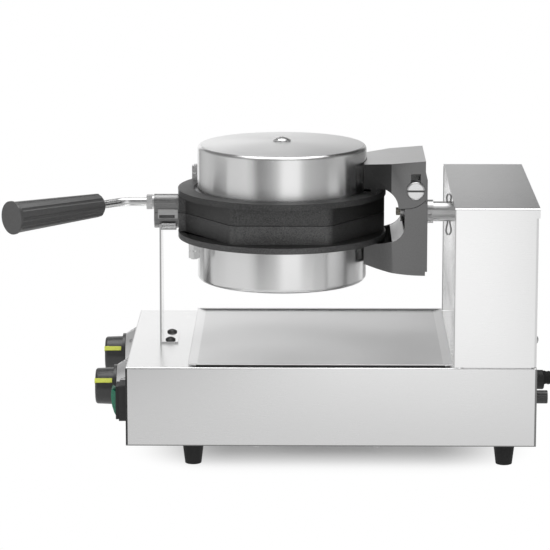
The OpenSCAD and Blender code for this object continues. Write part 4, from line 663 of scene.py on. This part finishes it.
def eased(points, steps, rounds):
    """Points set evenly along a run of points, then relaxed: each round moves every point but the
    two at each end half way towards the middle of its neighbours' line."""
    points = np.asarray(points, float)
    along = np.r_[0, np.cumsum(np.linalg.norm(np.diff(points, axis=0), axis=1))]
    at = np.linspace(0, along[-1], steps)
    run = np.stack([np.interp(at, along, points[:, k]) for k in range(3)], -1)
    for _ in range(rounds):
        pull = np.zeros_like(run)
        pull[1:-1] = run[:-2] - 2 * run[1:-1] + run[2:]
        pull[:2] = pull[-2:] = 0
        run += pull / 4
    return run


coil = coil_points(per_turn=40)
free = eased(route + [tuple(p) for p in coil[:3]], steps=60, rounds=8)
ends = eased([tuple(coil[-2])] + tail, steps=30, rounds=12)
lead_path = np.vstack([free[:-1], coil[3:-2], ends]) * mm


def pipe(path, radii, sides=20, level=(0, 0, 1)):
    """Rings of points round a path: each ring stands square to the path, with its first axis also
    square to the direction level, which the path never follows, and has its own radius."""
    path = np.asarray(path, float)
    ahead = np.gradient(path, axis=0)
    ahead /= np.linalg.norm(ahead, axis=1)[:, None]
    side = np.cross(level, ahead)
    side /= np.linalg.norm(side, axis=1)[:, None]
    up = np.cross(ahead, side)
    angle = np.linspace(0, 2 * pi, sides, endpoint=False)
    spoke = side[:, None] * np.cos(angle)[None, :, None] + up[:, None] * np.sin(angle)[None, :, None]
    return path[:, None] + spoke * np.broadcast_to(radii, len(path))[:, None, None]


def smooth(mesh, angle=35):
    """The mesh shaded smooth, apart from edges sharper than the angle."""
    mesh.polygons.foreach_set("use_smooth", np.ones(len(mesh.polygons), bool))
    mesh.set_sharp_from_angle(angle=radians(angle))
    return mesh


sheath = finish("rubber_sheath", 0.02, 0.013, rough=0.5, spread=0.14, depth=0.00003, grain=(1200, 1200, 1200),
                smudge=0.1)
lead = put("mains_lead", smooth(skin("mains_lead", pipe(lead_path, lead_d / 2 * mm), ends=True), 60))
lead.data.materials.append(sheath)
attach(lead, "chassis")
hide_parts("power_cord", "cord_coil")


def turned(name, profile, foot, axis, sides):
    """A turned piece: the profile's points (radius, height) carried round an axis from its foot."""
    profile = np.asarray(profile, float)
    angle = np.linspace(0, 2 * pi, sides, endpoint=False)
    r, h = profile[:, 0][:, None], profile[:, 1][:, None] + 0 * angle
    local = np.stack([r * np.cos(angle), r * np.sin(angle), h], -1)
    turn = np.array(Vector(axis).to_track_quat("Z", "Y").to_matrix())
    return skin(name, local @ turn.T * mm + np.asarray(foot) * mm)


def rounded_profile(points, r, n=4):
    """The profile's corners rounded: each inner corner becomes n + 1 points of a parabola between
    the two points r away from it along its sides."""
    points = [np.array(p, float) for p in points]
    made = [points[0]]
    for before, corner, after in zip(points, points[1:], points[2:]):
        a, b = before - corner, after - corner
        reach = min(r, np.linalg.norm(a) / 2.2, np.linalg.norm(b) / 2.2)
        a, b = corner + a / np.linalg.norm(a) * reach, corner + b / np.linalg.norm(b) * reach
        for t in np.linspace(0, 1, n + 1):
            made.append(a * (1 - t) ** 2 + corner * 2 * t * (1 - t) + b * t ** 2)
    return made + [points[-1]]


# The relief on the lead's first stretch: a taper with a rib at every second ring of points
thick_r, thin_r, rib = 6.4, 4.3, 0.35
relief_rows = free[:18] * mm
relief_r = np.linspace(thick_r, thin_r, len(relief_rows)) + rib * np.cos(np.arange(len(relief_rows)) * pi)
relief = put("lead_relief", smooth(skin("lead_relief", pipe(relief_rows, relief_r * mm, 32), ends=True), 60))
relief.data.materials.append(rubber)
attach(relief, "chassis")

# Four small dome screws hold the bottom plate to the shell's flange
dome = rounded_profile([(3.0, 0.0), (3.0, 0.9), (1.6, 2.2), (0.0, 2.3)], 0.8)
flange_x, flange_y = (-16.6, 93.0), (-119.5, 119.5)
for number, (x, y) in enumerate([(x, y) for y in flange_y for x in flange_x]):
    screw = turned("flange_screw", dome, foot=(x, y, base_low), axis=(0, 0, -1), sides=24)
    screw = put("flange_screw_%d" % number, smooth(screw, 50))
    screw.data.materials.append(zinc)
    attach(screw, "chassis")

dressed("cable_gland", nylon, edge=0.0005)
plug = dressed("plug", rubber, edge=0.0015)

# ---------------------------------------------------------------- Drip tray
# A shallow tray of thin stainless sheet with sloping ends and turned-out rims. It lies loose
# on the base and draws out to the cook's right.

tray_steel = finish("tray_stainless", 0.86, 0.845, rough=0.34, smudge=0.015, brushed=0.4, **streaks)
tray_slope_painted_light = finish("tray_slope_stainless", 0.97, 0.95, rough=0.34, smudge=0.01, **streaks)
# The sloping ends are painted brighter, as painted light, and the inside of the far rim, beyond rim_y, is
# painted darker, as painted shade
rim_y = 119
dressed("drip_tray", tray_steel, edge=0.0002,
        areas=[(lambda at, way: abs(way.x) > 0.15 and way.z > 0.9, tray_slope_painted_light),
               (lambda at, way: way.y < -0.9 and at.y > rim_y, painted_shade_grey)])
# A black strip below the near and the far rim stands for the shade in the gap under them: painted shade
tray_ends, gap_shade_y, gap_shade_low, gap_shade_high = (-72.0, 155.0), 121.4, 94.35, 95.9


def bar(name, low, high, node, material, edge=0.0003):
    """A straight bar between two corners in mm, with eased edges, that moves with a CAD node."""
    (x0, y0, z0), (x1, y1, z1) = low, high
    square = [[(x, y0, z0), (x, y1, z0), (x, y1, z1), (x, y0, z1)] for x in (x0, x1)]
    made = put(name, smooth(skin(name, np.array(square) * mm, ends=True), 40))
    ease = made.modifiers.new("eased edges", "BEVEL")
    ease.width, ease.segments, ease.limit_method, ease.harden_normals = edge, 2, "ANGLE", True
    made.data.materials.append(material)
    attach(made, frame["nodes"][node]["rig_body"])
    return made


for side in (-1, 1):
    y0, y1 = sorted((side * gap_shade_y, side * (gap_shade_y + 1)))
    low, high = (tray_ends[0], y0, gap_shade_low), (tray_ends[1], y1, gap_shade_high)
    bar("tray_gap_shade_%s" % "ab"[side > 0], low, high, "drip_tray", rubber, 0.0001)

# ---------------------------------------------------------------- The moulds
# Two cast plates, hexagonal where they close on the batter and round where the heater sits,
# with a dark non-stick coat over the sandy skin of the casting. Only the seats are machined.

pan_x = 5.157 * mm
cast = finish("coated_casting", 0.15, 0.045, metallic=0.94, rough=0.4, spread=0.16, depth=0.0001,
              grain=(1300, 1300, 1300), smudge=0.08)
lug_painted_highlight = finish("lug_painted_highlight", 0.36, 0.2, metallic=0.95, rough=0.34, spread=0.14, depth=0.00005,
                  grain=(1200, 1200, 1200), smudge=0.08)
# A lighter copy of the casting for the lower plate: painted light
cast_below_painted_light = finish("coated_casting_below", 0.2, 0.06, metallic=0.94, rough=0.4, spread=0.16, depth=0.0001,
                    grain=(1300, 1300, 1300), smudge=0.08)
# Only the lugs reach beyond this, and they are painted paler, as a painted highlight
lug_x = -91.5
for node, skin_of in (("lower_plate", cast_below_painted_light), ("upper_plate", cast)):
    dressed(node, skin_of, edge=0.0006, fold=38, areas=[(lambda at, way: at.x < lug_x, lug_painted_highlight)])

# ---------------------------------------------------------------- Heater chambers
# A spun stainless pot over each element, held by one washered bolt through its middle. Inside
# are the tubular element and a mat of mineral fibre.

spun = finish("spun_stainless", 0.9, 0.88, metallic=1.0, rough=0.25, spread=0.015, depth=0.0000003,
              grain=(4000, 4000, 4000), smudge=0.015, spin=(pan_x, 0.0), brushed=0.85)
# The covers' top faces are painted a little lighter than their sides: painted light
spun_top_painted_light = finish("spun_top_painted_light", 0.95, 0.93, metallic=1.0, rough=0.28, spread=0.02, depth=0.0000004,
                  grain=(4000, 4000, 4000), smudge=0.015, spin=(pan_x, 0.0), brushed=0.45)
for node in ("lower_cover", "upper_cover"):
    dressed(node, spun, edge=0.0003, areas=[(lambda at, way: abs(way.z) > 0.97, spun_top_painted_light)])
bright = finish("bright_steel", 0.84, 0.76, metallic=1.0, rough=0.2, spread=0.08, depth=0.000006,
                grain=(1200, 1200, 1200), smudge=0.03)
for node in ("lower_cover_bolt", "upper_cover_bolt"):
    dressed(node, bright, edge=0.0005)
# Between two heights the studs are dark
for node, low, high in (("lower_earth_stud", 188.5, 200), ("upper_earth_stud", 230, 244.5)):
    dressed(node, bright, edge=0.0003,
            areas=[(lambda at, way, low=low, high=high: low < at.z < high, dark_steel)])
tube = finish("element_tube", 0.3, 0.2, metallic=1.0, rough=0.45, spread=0.2, depth=0.00002,
              grain=(900, 900, 900))
for node in ("lower_element", "upper_element"):
    dressed(node, tube, edge=0)
wool = finish("mineral_fibre", (0.86, 0.84, 0.78), (0.66, 0.63, 0.56), rough=0.9, spread=0.1, depth=0.0006,
              grain=(260, 260, 1400), smudge=0.12)
for node in ("lower_mat", "upper_mat"):
    dressed(node, wool, edge=0.001)

# ---------------------------------------------------------------- Hinge brackets and shaft
# Pressed steel under grey enamel, bolted to the round flanges. The hollow shaft is fixed in the
# lower bracket by a nut and a collar, and a split pin keeps it from sliding.

enamel = finish("grey_enamel", 0.19, 0.17, metallic=0.9, rough=0.3, spread=0.05, depth=0.000002,
                grain=(700, 700, 700), smudge=0.05)
# A darker and a paler copy of the enamel: painted shade and painted light
enamel_painted_shade = finish("enamel_painted_shade", 0.042, 0.036, metallic=0.5, rough=0.24, spread=0.01, depth=0.0000003,
                       grain=(700, 700, 700), smudge=0.05)
enamel_painted_light = finish("enamel_top_painted_light", 0.8, 0.76, metallic=0.9, rough=0.32, spread=0.05, depth=0.000002,
                    grain=(700, 700, 700), smudge=0.05)
throat_pale = finish("throat_sheet", 0.82, 0.76, metallic=0.3, rough=0.34, spread=0.06, depth=0.000004,
                     grain=(900, 900, 900))
dressed("lower_bracket", enamel, edge=0.0005)
# A thin sheet lines the throat between the lower bracket's cheeks, as an arc under the shaft's end
throat_x, throat_z, throat_r, lining_half, lining = 103.657, 210.8, 16.1, 44.5, 0.8
throat_from, throat_to = -20, -74
turns = np.radians(np.linspace(throat_from, throat_to, 20))[:, None]
deep = throat_r + np.array([0, 0, lining, lining])
arc = np.stack([throat_x + deep * np.cos(turns), 0 * turns + lining_half * np.array([-1, 1, 1, -1]),
                throat_z + deep * np.sin(turns)], -1)
throat = put("throat_lining", smooth(skin("throat_lining", arc * mm, ends=True), 40))
throat.data.materials.append(throat_pale)
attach(throat, frame["nodes"]["lower_bracket"]["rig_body"])
# Before the place along X given below, the enamel is glossier and painted darker, as painted shade, apart from
# the faces along X; above the height given with it, it is painted pale, as painted light
front_shade_x, painted_light_z = 109, 255
dressed("upper_bracket", enamel, edge=0.0005,
        areas=[(lambda at, way: at.x < front_shade_x and abs(way.x) < 0.6, enamel_painted_shade),
               (on_top(painted_light_z, 0.6), enamel_painted_light)])
for node in ("lower_bracket_bolts", "upper_bracket_bolts"):
    dressed(node, zinc, edge=0.0003)
shaft_steel = finish("ground_steel", 0.56, 0.5, metallic=1.0, rough=0.27, spread=0.05, depth=0.000003,
                     grain=(60, 1500, 1500), smudge=0.04)
dressed("shaft", shaft_steel, edge=0.0002)
dressed("shaft_nut", zinc, edge=0.0004)
dressed("shaft_collar", shaft_steel, edge=0.0003)
# The split pin: one wire, folded into a long eye, and its legs spread and closed below
pin_at = (162.5, 0.0)
wire_r = 0.8
half_pin = [(0.0, 233.7), (1.5, 232.4), (2.2, 229.8), (1.9, 227.0), (1.0, 224.6), (0.9, 220.0),
            (0.9, 208.0), (1.1, 205.0), (2.1, 201.0), (2.5, 197.6), (1.7, 195.0), (0.3, 194.1)]
whole_pin = [(-x, z) for x, z in half_pin[:0:-1]] + half_pin
wire = eased([(pin_at[0] + x, pin_at[1], z) for x, z in whole_pin], steps=90, rounds=3) * mm
wire_rings = pipe(wire, wire_r * mm, sides=12, level=(0, 1, 0))
split_wire = put("split_wire", smooth(skin("split_wire", wire_rings, ends=True), 60))
settle(split_wire, "split_pin", shaft_steel)
dressed("stop_collar", zinc, edge=0.0005)
sleeve = finish("lead_sleeve", (0.8, 0.77, 0.68), (0.66, 0.62, 0.52), rough=0.7, spread=0.15, depth=0.00005,
                grain=(1600, 1600, 1600))
dressed("heater_leads", sleeve, edge=0.0002)
pin_steel = finish("pin_steel", 0.84, 0.76, metallic=1.0, rough=0.3, spread=0.1, depth=0.000004,
                   grain=(1500, 1500, 1500), smudge=0.05)
slot_painted_shade = finish("slot_shade", 0.2, 0.15, metallic=0.9, rough=0.45, spread=0.1, depth=0.000002,
                   grain=(900, 900, 900))
pivot_x, pivot_z = 129.457, 244.4
slot_half, slot_long, head_from, slot_floor, head_to = 1.0, 8.3, 47.5, 50.6, 51.5


def in_slot(at, way):
    """Whether a face is the floor or a wall of the driver's slot across a pivot screw's head."""
    inside = abs(at.z - pivot_z) < slot_half and abs(at.x - pivot_x) < slot_long
    return inside and head_from < abs(at.y) < head_to and (abs(way.z) > 0.9 or abs(at.y) < slot_floor)


# The slot's floor and walls are painted darker: painted shade
dressed("hinge_pins", pin_steel, edge=0.0004, areas=[(in_slot, slot_painted_shade)])

# ---------------------------------------------------------------- Handle
# A bent rod screwed into the upper lug, locked by a nut, with a fluted phenolic grip, and a
# folded clip beside the two lugs, with its slot drawn as a dark strip of painted shade and a turned-out lip.

dressed("guide_clip", mill, edge=0.0003)
# A dark strip stands for the clip's slot: painted shade
bar("clip_slot_painted_shade", (-110.2, -11.35, 211.4), (-95.5, -11.1, 214.4), "guide_clip", dark_steel, 0.0001)
bar("clip_lip", (-111.2, -12.6, 218.6), (-92.6, -11.1, 219.5), "guide_clip", mill, 0.0002)
dressed("handle_rod", bright, edge=0)
dressed("handle_nut", zinc, edge=0.0004)
grip_black = finish("phenolic_black", 0.075, 0.055, rough=0.36, spread=0.04, depth=0.0000015,
                    grain=(600, 600, 600), smudge=0.08, specular_ior_level=0.9)
dressed("handle_grip", grip_black, edge=0.0004)
